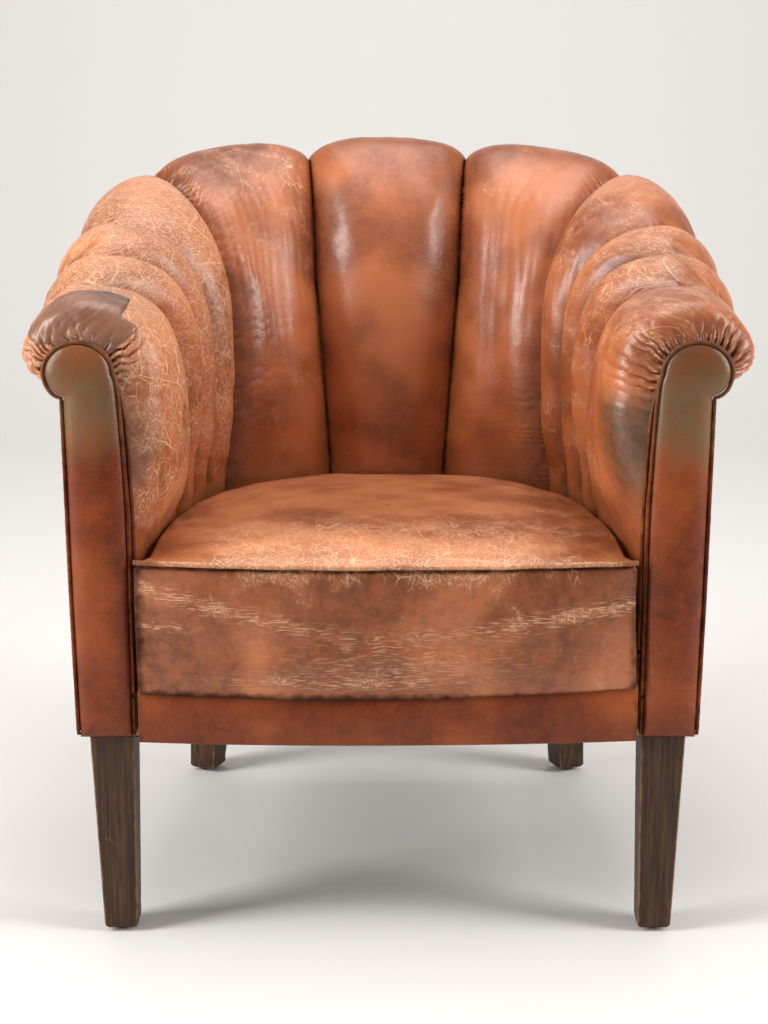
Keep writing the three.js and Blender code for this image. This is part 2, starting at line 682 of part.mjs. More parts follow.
// ---------- origin ----------
const space = new THREE.Box3().setFromObject(chair, true);
const middle = space.getCenter(new THREE.Vector3());
chair.position.set(-middle.x, -middle.y, -space.min.z);
const part = new THREE.Group();
part.add(chair);

export default part;
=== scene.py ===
import json
import math

import bmesh
import bpy
import numpy as np
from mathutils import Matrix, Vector


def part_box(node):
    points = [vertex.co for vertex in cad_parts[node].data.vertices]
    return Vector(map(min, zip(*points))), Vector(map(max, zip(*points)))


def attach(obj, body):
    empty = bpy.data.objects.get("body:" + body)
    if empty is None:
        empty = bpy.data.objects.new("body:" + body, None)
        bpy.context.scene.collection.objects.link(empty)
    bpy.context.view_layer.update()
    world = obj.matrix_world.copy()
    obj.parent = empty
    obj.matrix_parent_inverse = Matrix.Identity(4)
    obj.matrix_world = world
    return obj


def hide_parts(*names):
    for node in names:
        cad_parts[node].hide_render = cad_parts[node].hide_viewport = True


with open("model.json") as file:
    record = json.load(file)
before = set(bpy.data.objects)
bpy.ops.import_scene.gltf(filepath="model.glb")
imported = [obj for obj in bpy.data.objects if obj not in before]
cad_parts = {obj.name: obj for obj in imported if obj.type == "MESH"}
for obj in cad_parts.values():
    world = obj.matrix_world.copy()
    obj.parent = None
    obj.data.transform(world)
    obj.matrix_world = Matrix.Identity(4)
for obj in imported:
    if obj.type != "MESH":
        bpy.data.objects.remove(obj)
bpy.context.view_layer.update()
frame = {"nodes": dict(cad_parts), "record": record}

# ---------- driving dimensions, in metres ----------
# The chair is laid out with its arm fronts on y = 0 and the floor on z = 0, and moved to the frame when a
# piece is made.
ARM_FRONT_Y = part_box("facing_left")[1].y
MM = 0.001

# The tub's lining from below the seat, up the inner face, over the roll and under it. A row gives the
# horseshoe's half width at the arms, its depth, how square it is, its height at the arm fronts and at the
# back, and how far the pads stand from it at the arm fronts, the sides and the back.
TUB_ROWS = np.array([
    [0.268, 0.480, 3.0, 0.335, 0.335, 0.010, 0.012, 0.012],
    [0.270, 0.497, 3.0, 0.420, 0.420, 0.024, 0.026, 0.024],
    [0.272, 0.520, 3.1, 0.500, 0.520, 0.042, 0.050, 0.036],
    [0.277, 0.552, 3.4, 0.585, 0.640, 0.050, 0.060, 0.038],
    [0.288, 0.590, 4.0, 0.632, 0.725, 0.052, 0.056, 0.037],
    [0.318, 0.630, 4.7, 0.655, 0.778, 0.038, 0.034, 0.031],
    [0.350, 0.666, 5.1, 0.648, 0.770, 0.024, 0.022, 0.020],
    [0.363, 0.680, 5.0, 0.630, 0.737, 0.013, 0.014, 0.014],
    [0.338, 0.655, 4.4, 0.602, 0.690, 0.003, 0.003, 0.003],
])
TUB_END = len(TUB_ROWS) - 1
HEIGHT_EASE = 1.45  # how the crest climbs from the arms to the back
LOFT_STATIONS = [0.2, 0.45, 0.7, 0.92]  # back, side, side, arm front

# Stations run along the horseshoe by length: 0 in the middle of the back, 1 at an arm front.
SEAM_ROWS = [1, 3, 5, 8]
SEAMS = [
    [0.11, 0.125, 0.115, 0.112],
    [0.37, 0.36, 0.355, 0.35],
    [0.455, 0.51, 0.6, 0.61],
    [0.54, 0.615, 0.725, 0.73],
    [0.62, 0.72, 0.85, 0.86],
    [0.998, 0.998, 0.998, 0.998],
]
SEAM_GAP = 0.00008
SEAM_DEPTH = 1.2 * MM  # the pads' skin above the lining in a valley
PAD_SPACING = (1.3 * MM, 3.0 * MM)  # between the fine grid's rows and between its columns
SETTLE_SPACING = 6.0 * MM  # between the lines of the grid that settles as cloth

# The outside covers: half width, depth, squareness and the two heights, from the bottom edge up.
OUTSIDE_ROWS = np.array([
    [0.3275, 0.568, 3.6, 0.229, 0.229],
    [0.331, 0.598, 3.7, 0.400, 0.430],
    [0.333, 0.628, 3.8, 0.520, 0.580],
    [0.3335, 0.648, 3.9, 0.597, 0.682],
])
OUTSIDE_END = len(OUTSIDE_ROWS) - 1
OUTSIDE_BACK_STATION = 0.46
FRAME_BOTTOM = 0.229

# Arm fronts.
FACING_INNER = {"bottom": 0.271, "seat": 0.272, "elbow": 0.273, "neck": 0.279}
FACING_OUTER = {"bottom": 0.3275, "seat": 0.331, "elbow": 0.3325, "notch": 0.334}
FACING_Z = {"seat": 0.379, "elbow": 0.488, "neck": 0.598}
SCROLL = {"x": 0.318, "z": 0.622, "half_width": 0.0345, "rise": 0.031}
PIPING_RADIUS = 2.2 * MM

# Seat.
SEAT_HALF_WIDTH = 0.250
SEAT_FRONT_HALF_WIDTH = 0.2625
SEAT_DEPTH = 0.458
SEAT_SQUARE = 2.45
SEAT_CENTRE_Y = 0.200
SEAT_EDGE_Z = 0.423
SEAT_CROWN = 0.017
SEAT_FALL = 0.013  # how much lower the seat's edge is at the back
SEAT_FRONT_Y = -0.014
SEAT_BOW = 0.020
STUFFING_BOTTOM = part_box("seat_stuffing")[0].z
BORDER_TOP = 0.281
BORDER_BOTTOM = 0.223
BORDER_FRONT_Y = -0.010
FRONT_CLEAR = 0.2648


# ---------- numbers ----------
LINE_VALUES = 509  # random values before a line's pattern comes round again
PLANE_VALUES = 61  # the same each way over a plane


def smoothstep(value, low, high):
    share = np.clip((value - low) / (high - low), 0, 1)
    return share * share * (3 - 2 * share)


def wander(along, seed):
    """Smooth random numbers from -1 to 1 along a line, one new value for each unit."""
    table = np.random.default_rng(seed).uniform(-1, 1, LINE_VALUES)
    cell = np.floor(along).astype(int)
    share = smoothstep(along - cell, 0, 1)
    return table[cell % LINE_VALUES] * (1 - share) + table[(cell + 1) % LINE_VALUES] * share


def drift(across, along, seed):
    """Smooth random numbers from -1 to 1 over a plane, one new value for each unit."""
    table = np.random.default_rng(seed).uniform(-1, 1, (PLANE_VALUES, PLANE_VALUES))
    column = np.floor(across).astype(int)
    row = np.floor(along).astype(int)
    x = smoothstep(across - column, 0, 1)
    y = smoothstep(along - row, 0, 1)
    left, right = column % PLANE_VALUES, (column + 1) % PLANE_VALUES
    lower, upper = row % PLANE_VALUES, (row + 1) % PLANE_VALUES
    low = table[lower, left] * (1 - x) + table[lower, right] * x
    high = table[upper, left] * (1 - x) + table[upper, right] * x
    return low * (1 - y) + high * y


def cubic_weights(position, count):
    """The four neighbours of each position in a row of count values, and their Catmull-Rom weights."""
    position = np.clip(position, 0, count - 1 - 1e-9)
    cell = np.floor(position).astype(int)
    t = position - cell
    near = np.clip(np.stack([cell - 1, cell, cell + 1, cell + 2]), 0, count - 1)
    weights = np.stack([
        -t + 2 * t**2 - t**3,
        2 - 5 * t**2 + 3 * t**3,
        t + 4 * t**2 - 3 * t**3,
        -(t**2) + t**3,
    ]) / 2
    return near, weights


def cubic_rows(rows, level):
    near, weights = cubic_weights(np.atleast_1d(level), len(rows))
    return sum(rows[near[k]] * weights[k][..., None] for k in range(4))


def resample(grid, row_positions, column_positions):
    """A grid of points read at other rows and columns, smoothly."""
    near, weights = cubic_weights(row_positions, grid.shape[0])
    tall = sum(grid[near[k]] * weights[k][:, None, None] for k in range(4))
    near, weights = cubic_weights(column_positions, grid.shape[1])
    return sum(tall[:, near[k]] * weights[k][None, :, None] for k in range(4))


def even_positions(points, spacing):
    """Positions along a row of points that are one spacing apart, in index units."""
    steps = np.linalg.norm(np.diff(points, axis=0), axis=-1)
    length = np.concatenate([[0], np.cumsum(steps)])
    count = max(4, int(round(length[-1] / spacing)))
    return np.interp(np.linspace(0, length[-1], count + 1), length, np.arange(len(length)))


# ---------- the tub's wall ----------
def horseshoe(half_width, depth, square, stations):
    """|x| and y at stations along half a horseshoe, by length from the middle of the back."""
    angle = np.linspace(0, math.pi / 2, 241)
    sums = (np.cos(angle) / half_width) ** square + (np.sin(angle) / depth) ** square
    radius = sums ** (-1 / square)
    x = radius * np.cos(angle)
    y = radius * np.sin(angle)
    length = np.concatenate([[0], np.cumsum(np.hypot(np.diff(x), np.diff(y)))])
    reach = (1 - np.abs(stations)) * length[-1]
    return np.interp(reach, length, x), np.interp(reach, length, y)


def wall_points(rows, levels, stations, outward=0.0):
    """Points on a wall: one row of stations for each level."""
    values = cubic_rows(rows, levels)
    points = np.zeros(stations.shape + (3,))
    for row, value in enumerate(values):
        x, y = horseshoe(value[0] + outward, value[1] + outward, value[2], stations[row])
        climb = np.cos(np.pi * np.clip(np.abs(stations[row]), 0, 1) / 2) ** HEIGHT_EASE
        points[row, :, 0] = np.sign(stations[row]) * x
        points[row, :, 1] = y
        points[row, :, 2] = value[3] + (value[4] - value[3]) * climb
    return points


def grid_normals(points):
    """Unit normals of a grid of points, towards the side from which its columns run right and its rows up."""
    along = np.gradient(points, axis=1)
    up = np.gradient(points, axis=0)
    normal = np.cross(along, up)
    return normal / (np.linalg.norm(normal, axis=-1, keepdims=True) + 1e-12)


def seam_station(seam, levels):
    return np.interp(levels, SEAM_ROWS, SEAMS[seam])


def pad_edges(pad, levels):
    """A pad's left and right seam. Pad 0 is in the middle of the back, -5 and 5 are at the arm fronts."""
    if pad == 0:
        middle = seam_station(0, levels)
        return -middle, middle
    near = seam_station(abs(pad) - 1, levels)
    far = seam_station(abs(pad), levels)
    return (near, far) if pad > 0 else (-far, -near)


def pad_fullness(pad, share, levels):
    """How full a pad is: 0 at a seam, 1 in the middle. One row of shares for each level."""
    square = 3.0 if abs(pad) < 2 else 2.3
    channel = np.maximum(0, 1 - np.abs(2 * share - 1) ** square) ** 0.6
    if abs(pad) < 5:
        return channel
    to_front = share if pad > 0 else 1 - share
    low = smoothstep(levels, 1, 3)[:, None]
    front = np.maximum(0, 1 - to_front ** (1 + 11 * low)) ** (1 - 0.5 * low)
    return np.where(to_front < 0.5, np.minimum(channel, front), front)


def pad_loft(levels, stations):
    values = cubic_rows(TUB_ROWS, levels)
    loft = np.zeros(stations.shape)
    for row, value in enumerate(values):
        heights = [value[7], value[6], value[6], value[5]]
        loft[row] = np.interp(np.abs(stations[row]), LOFT_STATIONS, heights)
    return loft


def pad_surface(pad, levels, shares):
    """The plain crowned skin of a pad, the lining under it and the direction out of it."""
    left, right = pad_edges(pad, levels)
    share = np.broadcast_to(shares, (len(levels), len(shares)))
    width = (right - left - 2 * SEAM_GAP)[:, None]
    stations = left[:, None] + SEAM_GAP + width * share
    lining = wall_points(TUB_ROWS, levels, stations)
    normal = grid_normals(lining)
    full = pad_fullness(pad, share, levels)
    skin = lining + normal * (SEAM_DEPTH + pad_loft(levels, stations) * full)[..., None]
    return skin, lining, normal, full


# ---------- meshes ----------
def in_frame(points):
    """From the chair's own layout to the frame."""
    moved = np.array(points, float)
    moved[..., 1] += ARM_FRONT_Y
    return moved


def new_object(name, points, faces, material=None, smooth=True):
    mesh = bpy.data.meshes.new(name)
    mesh.from_pydata(np.asarray(points).reshape(-1, 3).tolist(), [], faces)
    mesh.update()
    mesh.validate()
    if smooth:
        mesh.shade_smooth()
    piece = bpy.data.objects.new(name, mesh)
    bpy.context.scene.collection.objects.link(piece)
    if material:
        mesh.materials.append(material)
    return piece


def grid_quads(rows, columns, start=0, wrap=False, flip=False):
    """Faces of a grid of points numbered row by row from start. wrap joins its last column to its first."""
    row, column = np.mgrid[0:rows - 1, 0:columns if wrap else columns - 1]
    right = (column + 1) % columns
    quads = np.stack([
        row * columns + column,
        row * columns + right,
        (row + 1) * columns + right,
        (row + 1) * columns + column,
    ], -1).reshape(-1, 4) + start
    return (quads[:, ::-1] if flip else quads).tolist()


def closed_skin(front, back):
    """Points and faces of a solid between two grids with as many rows. Its front faces the front's normal."""
    rows, columns = front.shape[:2]
    behind = back.shape[1]
    start = rows * columns
    faces = grid_quads(rows, columns) + grid_quads(rows, behind, start, flip=True)
    for row in range(rows - 1):
        near = row * columns
        far = start + row * behind
        faces.append([near, near + columns, far + behind, far])
        right = near + columns - 1
        far_right = far + behind - 1
        faces.append([right + columns, right, far_right, far_right + behind])
    low_back = range(start + behind - 1, start - 1, -1)
    top = (rows - 1) * columns
    top_back = start + (rows - 1) * behind
    faces.append([*low_back, *range(columns)][::-1])
    faces.append([*range(top_back + behind - 1, top_back - 1, -1), *range(top, top + columns)])
    return np.concatenate([front.reshape(-1, 3), back.reshape(-1, 3)]), faces


def set_numbers(piece, name, values):
    """A named number for each point of a piece. Points past the end of values get 0."""
    numbers = np.zeros(len(piece.data.vertices), np.float32)
    flat = np.asarray(values, np.float32).ravel()
    numbers[:len(flat)] = flat
    attribute = piece.data.attributes.new(name, "FLOAT", "POINT")
    attribute.data.foreach_set("value", numbers)


def set_hide_map(piece, across, along):
    """A UV map in metres over the leather, for patterns that follow the surface."""
    count = len(piece.data.vertices)
    place = np.zeros((count, 2), np.float32)
    size = np.asarray(across).size
    place[:size, 0] = np.ravel(across)
    place[:size, 1] = np.ravel(along)
    loops = np.zeros(len(piece.data.loops), np.int32)
    piece.data.loops.foreach_get("vertex_index", loops)
    layer = piece.data.uv_layers.new(name="hide")
    layer.data.foreach_set("uv", place[loops].ravel())


def walked(points, axis):
    """How far each point of a grid is along its row (axis 1) or column (axis 0)."""
    steps = np.linalg.norm(np.diff(points, axis=axis), axis=-1)
    start = np.zeros_like(np.take(steps, [0], axis=axis))
    return np.concatenate([start, np.cumsum(steps, axis=axis)], axis=axis)


# ---------- leather that settles as cloth ----------
CLOTH_FRAMES = 20
CLOTH_PRESSURE = 4.0
CLOTH_SLACK = -0.010  # the hide is cut this much longer than its place, so it gathers along its seams
CLOTH_CAP = 6 * MM  # the most that a point may move
SOFTENING = 6  # how many times the cloth's pinches are smoothed
SOFTENING_CENTRE = 14  # the same for the centre pad, which is the smoothest


def settle(grids):
    """Swells grids of leather as cloth with their edges held, and gives back how far each point moved."""
    points = np.concatenate([grid.reshape(-1, 3) for grid in grids])
    faces = []
    held = []
    start = 0
    for grid in grids:
        rows, columns = grid.shape[:2]
        faces += grid_quads(rows, columns, start)
        edge = np.zeros((rows, columns), bool)
        edge[[0, -1], :] = True
        edge[:, [0, -1]] = True
        held += (np.flatnonzero(edge.ravel()) + start).tolist()
        start += rows * columns
    skin = new_object("settling_skin", points, faces)
    group = skin.vertex_groups.new(name="held")
    group.add(held, 1.0, "REPLACE")
    modifier = skin.modifiers.new("Cloth", "CLOTH")
    cloth = modifier.settings
    cloth.quality = 4
    cloth.mass = 0.4
    cloth.tension_stiffness = 12
    cloth.compression_stiffness = 12
    cloth.shear_stiffness = 5
    cloth.bending_stiffness = 0.6
    cloth.air_damping = 3
    cloth.use_pressure = True
    cloth.uniform_pressure_force = CLOTH_PRESSURE
    cloth.shrink_min = CLOTH_SLACK
    cloth.vertex_group_mass = "held"
    cloth.effector_weights.gravity = 0
    modifier.collision_settings.use_collision = False
    modifier.point_cache.frame_start = 1
    modifier.point_cache.frame_end = CLOTH_FRAMES
    for number in range(1, CLOTH_FRAMES + 1):
        bpy.context.scene.frame_set(number)
    evaluated = skin.evaluated_get(bpy.context.evaluated_depsgraph_get())
    settled = np.zeros(len(points) * 3, np.float32)
    evaluated.data.vertices.foreach_get("co", settled)
    moved = settled.reshape(-1, 3) - points
    far = np.linalg.norm(moved, axis=-1, keepdims=True)
    moved *= np.minimum(1, CLOTH_CAP / np.maximum(far, 1e-9))
    bpy.data.objects.remove(skin)
    bpy.context.scene.frame_set(1)
    parts = np.split(moved, np.cumsum([grid.shape[0] * grid.shape[1] for grid in grids])[:-1])
    return [part.reshape(grid.shape) for part, grid in zip(parts, grids)]


def fold_ridges(phase):
    """Gathered leather across its folds: round ridges and sharp creases, from about -0.7 to 0.3."""
    return np.abs(np.sin(np.pi * phase)) ** 0.75 - 0.7


def gathers(along, away, spacing, reach, depth, seed):
    """Folds that start at a seam and die away from it. along and away are distances over the leather."""
    bend = 0.5 * wander(away / 0.012, seed + 3) * np.clip(away / 0.02, 0, 1)
    phase = along / spacing + 0.9 * wander(along / (2.2 * spacing), seed) + bend
    own_reach = reach * (0.75 + 0.35 * wander(phase * 0.5 + 0.3, seed + 1))
    own_depth = depth * (0.75 + 0.35 * wander(phase * 0.37, seed + 2))
    fade = np.exp(-(away / np.maximum(own_reach, 1e-4)) ** 1.4)
    return own_depth * fold_ridges(phase) * fade * np.clip(away / (1.5 * MM), 0, 1)


# Where each pad's seams are gathered: level of the middle, spread in levels, fold spacing, reach and depth
# in mm. Keys are the pad's number. "inner" is its seam towards the middle of the back, "outer" the one
# towards the arm front.
PAD_GATHERS = {
    0: {"inner": [(4.4, 0.5, 9, 16, 1.1)], "outer": [(4.3, 0.6, 9, 18, 1.2)]},
    -1: {"inner": [(4.2, 1.2, 14, 10, 0.5)], "outer": [(4.6, 1.0, 10, 42, 2.6), (3.0, 1.4, 16, 60, 1.6)]},
    1: {"inner": [(4.2, 0.7, 10, 16, 1.4)], "outer": [(4.7, 1.0, 9, 22, 2.2), (1.6, 0.5, 11, 45, 2.2)]},
    -2: {"inner": [(4.9, 0.9, 11, 9, 0.8)], "outer": [(4.9, 0.8, 9, 16, 1.6), (3.2, 0.8, 15, 34, 1.8)]},
    2: {"inner": [(4.8, 1.0, 11, 9, 0.8)], "outer": [(4.9, 0.9, 12, 24, 1.8), (3.2, 0.9, 15, 26, 1.7)]},
    -3: {"inner": [(4.8, 1.0, 9, 9, 1.0)], "outer": [(4.9, 0.9, 8, 15, 1.5), (3.2, 0.9, 13, 26, 1.7)]},
    3: {"inner": [(4.8, 1.0, 10, 9, 0.9)], "outer": [(4.8, 0.9, 9, 12, 1.2), (3.1, 0.9, 13, 22, 1.6)]},
    -4: {"inner": [(4.9, 1.0, 8, 10, 1.2)], "outer": [(5.0, 1.0, 7, 13, 1.4), (3.6, 0.7, 10, 22, 2.0)]},
    4: {"inner": [(4.9, 1.0, 9, 9, 1.0)], "outer": [(5.0, 1.2, 8, 10, 1.2), (3.4, 0.7, 10, 20, 1.8)]},
    -5: {"inner": [(4.8, 1.0, 8, 12, 1.4), (3.4, 0.6, 11, 18, 1.8)], "outer": []},
    5: {"inner": [(4.9, 1.0, 8, 10, 1.2), (3.4, 0.6, 11, 18, 1.8)], "outer": []},
}
GATHER_GAIN = 1.7  # deepens all of those folds alike


def pad_gathers(pad, skin, levels):
    """How far the folds along a pad's seams lift its skin."""
    along = walked(skin, 0).mean(1, keepdims=True) + np.zeros(skin.shape[:2])
    across = walked(skin, 1)
    width = across[:, -1:]
    lift = np.zeros(skin.shape[:2])
    for edge in ("inner", "outer"):
        on_left = (edge == "inner") == (pad >= 0)
        away = across if on_left else width - across
        for number, (level, spread, spacing, reach, depth) in enumerate(PAD_GATHERS[pad][edge]):
            strength = np.exp(-((levels - level) / spread) ** 2)[:, None]
            seed = 100 * (pad + 6) + 10 * number + (5 if on_left else 0)
            folds = gathers(along, away, spacing * MM, reach * MM, GATHER_GAIN * depth * MM, seed)
            lift += strength * folds
    return lift


# Long shallow folds that run down a pad: level of the middle, spread, spacing and depth in mm.
LONG_FOLDS = {
    -1: (3.3, 0.9, 13, 1.6),
    -2: (3.4, 0.9, 12, 1.3),
    1: (3.6, 1.1, 19, 1.5),
    2: (3.4, 0.9, 14, 1.3),
}
OTHER_LONG_FOLDS = (3.4, 0.9, 13, 0.9)


def long_folds(pad, skin, levels, full):
    """How far the long folds down a pad lift its skin. The centre pad has none."""
    if pad == 0:
        return np.zeros(skin.shape[:2])
    level, spread, spacing, depth = LONG_FOLDS.get(pad, OTHER_LONG_FOLDS)
    across = walked(skin, 1)
    along = walked(skin, 0)
    seed = 400 + 10 * pad
    phase = across / (spacing * MM) + 0.8 * drift(along / 0.10, across / 0.05, seed)
    strength = np.exp(-((levels - level) / spread) ** 2)[:, None] * full
    strength = strength * (0.55 + 0.45 * drift(along / 0.06, across / 0.03, seed + 1))
    return depth * MM * strength * fold_ridges(phase)


TURN_IN = 30 * MM  # how wide a band of a front pad turns in towards its facing

# The folds that run out from a facing over the front pads: level of the middle, spread, spacing, reach and
# depth in mm.
FRONT_PLEATS = {
    -5: [(6.8, 0.9, 12, 46, 12), (5.1, 0.6, 15, 34, 4.0), (4.0, 0.45, 12, 44, 9.0), (3.2, 0.4, 17, 55, 5.0)],
    5: [(6.4, 1.0, 12, 48, 13), (5.0, 0.6, 14, 30, 6.5), (4.1, 0.45, 13, 46, 9.0), (3.5, 0.4, 15, 55, 8.5)],
}


def front_pleats(pad, skin, levels):
    """How far the pleats beside a facing lift a front pad's skin."""
    across = walked(skin, 1)
    away = across[:, -1:] - across if pad > 0 else across
    turned = np.abs(away.mean(0) - TURN_IN).argmin()
    rim = walked(skin, 0)[:, turned:turned + 1]
    lift = np.zeros(skin.shape[:2])
    for number, (level, spread, spacing, reach, depth) in enumerate(FRONT_PLEATS[pad]):
        strength = np.exp(-((levels - level) / spread) ** 2)[:, None]
        lift += strength * gathers(rim + 0 * away, away, spacing * MM, reach * MM, depth * MM,
                                   900 + 20 * number + pad)
    return lift


def turn_in(pad, skin):
    """Leads the front edge of a front pad in behind the edge of its facing."""
    side = 1 if pad > 0 else -1
    edge = skin[:, -1] if pad > 0 else skin[:, 0]
    outline = arm_outline(-4 * MM)
    flat = np.column_stack([side * edge[:, 0], edge[:, 2]])
    nearest = outline[np.linalg.norm(flat[:, None] - outline[None], axis=-1).argmin(1)]
    target = np.column_stack([side * nearest[:, 0], np.full(len(edge), 0.6 * MM), nearest[:, 1]])
    across = walked(skin, 1)
    away = across[:, -1:] - across if pad > 0 else across
    share = (1 - smoothstep(away, 0, TURN_IN)) ** 1.6
    return (target - edge)[:, None] * share[..., None]


def pad_grids():
    """For each pad: its levels and shares on the settling grid, and the settling grid itself."""
    first = {}
    for pad in range(-5, 6):
        levels = np.linspace(0, TUB_END, 161)
        shares = (1 - np.cos(np.linspace(0, np.pi, 121))) / 2
        skin = pad_surface(pad, levels, shares)[0]
        rows = even_positions(skin[:, len(shares) // 2], SETTLE_SPACING)
        longest = skin[int(len(levels) * 0.45)]
        columns = even_positions(longest, SETTLE_SPACING)
        levels = np.interp(rows, np.arange(161), levels)
        shares = np.interp(columns, np.arange(121), shares)
        first[pad] = (levels, shares, pad_surface(pad, levels, shares)[0])
    return first


def pad_name(pad):
    if pad == 0:
        return "pad_centre"
    return f"pad_{'left' if pad < 0 else 'right'}_{abs(pad)}"


PAD_BACK_COLUMNS = 9
# How far the dye has worn off each pad, from 0 to 1.
WORN_PADS = {
    -5: 0.95, -4: 0.95, -3: 0.95, -2: 0.95, -1: 0.52,
    0: 0.22,
    1: 0.36, 2: 0.55, 3: 0.65, 4: 0.7, 5: 0.58,
}


def softened(grid, times):
    """A grid of movements with its sharpest pinches smoothed away. Its edges stay."""
    for _ in range(times):
        middle = grid[1:-1, 1:-1]
        around = grid[:-2, 1:-1] + grid[2:, 1:-1] + grid[1:-1, :-2] + grid[1:-1, 2:]
        grid = grid.copy()
        grid[1:-1, 1:-1] = 0.5 * middle + 0.125 * around
    return grid


def beside(values, reach, axis):
    """The mean of the values up to so many lines away on both sides."""
    return np.mean([np.roll(values, step, axis) for step in range(-reach, reach + 1)], axis=0)


def fine_pad(pad, levels, shares, settled):
    """A pad's finished skin on the fine grid, with the levels and shares of its lines."""
    rows = np.linspace(0, len(levels) - 1, int(len(levels) * SETTLE_SPACING / PAD_SPACING[0]))
    columns = np.linspace(0, len(shares) - 1, int(len(shares) * SETTLE_SPACING / PAD_SPACING[1]))
    fine_levels = np.interp(rows, np.arange(len(levels)), levels)
    fine_shares = np.interp(columns, np.arange(len(shares)), shares)
    skin, lining, _, full = pad_surface(pad, fine_levels, fine_shares)
    skin = skin + resample(softened(settled, SOFTENING_CENTRE if pad == 0 else SOFTENING), rows, columns)
    if abs(pad) == 5:
        skin = skin + turn_in(pad, skin)
    lift = pad_gathers(pad, skin, fine_levels)
    if abs(pad) == 5:
        lift += front_pleats(pad, skin, fine_levels)
    across = walked(skin, 1)
    along = walked(skin, 0)
    lift += long_folds(pad, skin, fine_levels, full)
    lift += 1.6 * MM * full * drift(across / 0.055 + pad * 7, along / 0.08, 31)
    lift += 0.5 * MM * full * drift(across / 0.016 + pad * 7, along / 0.03, 32)
    direction = grid_normals(skin)
    edge = np.minimum(across, across[:, -1:] - across)
    held = smoothstep(edge, 0, 3 * MM)[..., None]
    skin = skin + direction * lift[..., None] * held
    return skin, lining, fine_levels, fine_shares, full, lift / MM


def make_pads(material):
    first = pad_grids()
    moved = settle([first[pad][2] for pad in range(-5, 6)])
    made = {}
    for pad, settled in zip(range(-5, 6), moved):
        levels, shares, _ = first[pad]
        skin, lining, fine_levels, fine_shares, full, lift = fine_pad(pad, levels, shares, settled)
        picks = np.linspace(0, skin.shape[1] - 1, PAD_BACK_COLUMNS).astype(int)
        behind = lining + grid_normals(lining) * 0.4 * MM
        if abs(pad) == 5:
            front = -1 if pad > 0 else 0
            behind[:, front] = skin[:, front] + [0, 6 * MM, 0]
        points, faces = closed_skin(in_frame(skin), in_frame(behind[:, picks]))
        piece = new_object(pad_name(pad), points, faces, material)
        set_pad_numbers(piece, pad, skin, fine_levels, fine_shares, full, lift)
        settle_in(piece, [pad_name(pad)])
        made[pad] = (piece, skin, fine_levels, fine_shares)
    return made


def set_pad_numbers(piece, pad, skin, levels, shares, full, lift):
    across = walked(skin, 1)
    near, far = across, across[:, -1:] - across
    away = np.minimum(near * (14 if pad == -5 else 1), far * (14 if pad == 5 else 1))
    hollow = np.maximum(beside(lift, 3, 0) - lift, beside(lift, 2, 1) - lift)
    creased = smoothstep(hollow, 0.25, 0.95)
    raised = smoothstep(-hollow, 0.05, 0.45)
    # The seam number darkens the skin along its seams and in the hollows of its folds: part dirt, part
    # painted shade.
    set_numbers(piece, "seam", 0.12 + smoothstep(away, 0, 0.020) - 0.95 * creased)
    crest = np.exp(-((levels - 4.6) / 1.1) ** 2)[:, None]
    wear = WORN_PADS[pad] * (0.72 + 0.28 * crest) * smoothstep(levels, 0.3, 1.6)[:, None]
    wear = wear * (0.7 + 0.3 * full) + 0.4 * raised
    band = worn_band(pad, levels, shares)
    # Painted shade beside the right facing darkens the skin there and thins its wear.
    painted_shade = painted_shade_by_right_facing(pad, skin)
    set_numbers(piece, "wear", (wear + 0.5 * band * (1 - band) * 4) * (1 - 0.6 * painted_shade))
    # The crown number paints the pads' full middles lighter and their seams darker, a painted light and shade
    # over their bulge, and gives fold ridges a painted highlight. The middle three pads lose that painted
    # light towards their tops.
    dark_top = 0.8 * smoothstep(levels, 4.2, 5.0)[:, None] if abs(pad) < 2 else 0
    crown = full * np.ones_like(away) * (1 - dark_top) * (1 - painted_shade)
    set_numbers(piece, "crown", crown - 0.6 * band + 0.35 * raised)
    set_numbers(piece, "grime", pad_grime(pad, skin))
    set_hide_map(piece, across + 0.37 * (pad + 6), walked(skin, 0))


def worn_band(pad, levels, shares):
    """The rubbed strip across the right arm's roll, beside its last seam."""
    if pad != 5:
        return np.zeros((len(levels), len(shares)))
    across = smoothstep(shares, 0.05, 0.09) * (1 - smoothstep(shares, 0.24, 0.29))
    return smoothstep(levels, 3.6, 4.2)[:, None] * across


def pad_grime(pad, skin):
    """Hand dirt beside the right facing, and a little beside the left one."""
    if abs(pad) != 5:
        return np.zeros(skin.shape[:2])
    strength = 1.0 if pad > 0 else 0.25
    near_front = 1 - smoothstep(skin[..., 1], 0.012, 0.075)
    height = smoothstep(skin[..., 2], 0.45, 0.53) * (1 - smoothstep(skin[..., 2], 0.575, 0.61))
    inner = 1 - smoothstep(np.abs(skin[..., 0]), 0.285, 0.30)
    return strength * near_front * height * inner


def painted_shade_by_right_facing(pad, skin):
    """Painted shade over the foot of the right arm beside its facing."""
    if pad != 5:
        return np.zeros(skin.shape[:2])
    near_front = 1 - smoothstep(skin[..., 1], 0.02, 0.12)
    return near_front * (1 - smoothstep(skin[..., 2], 0.53, 0.62))


# ---------- shader building ----------
def linear(red, green, blue):
    """A colour given as 0 to 255 on a screen, as a shader needs it."""
    def channel(value):
        value /= 255
        return value / 12.92 if value <= 0.04045 else ((value + 0.055) / 1.055) ** 2.4
    return (channel(red), channel(green), channel(blue), 1.0)


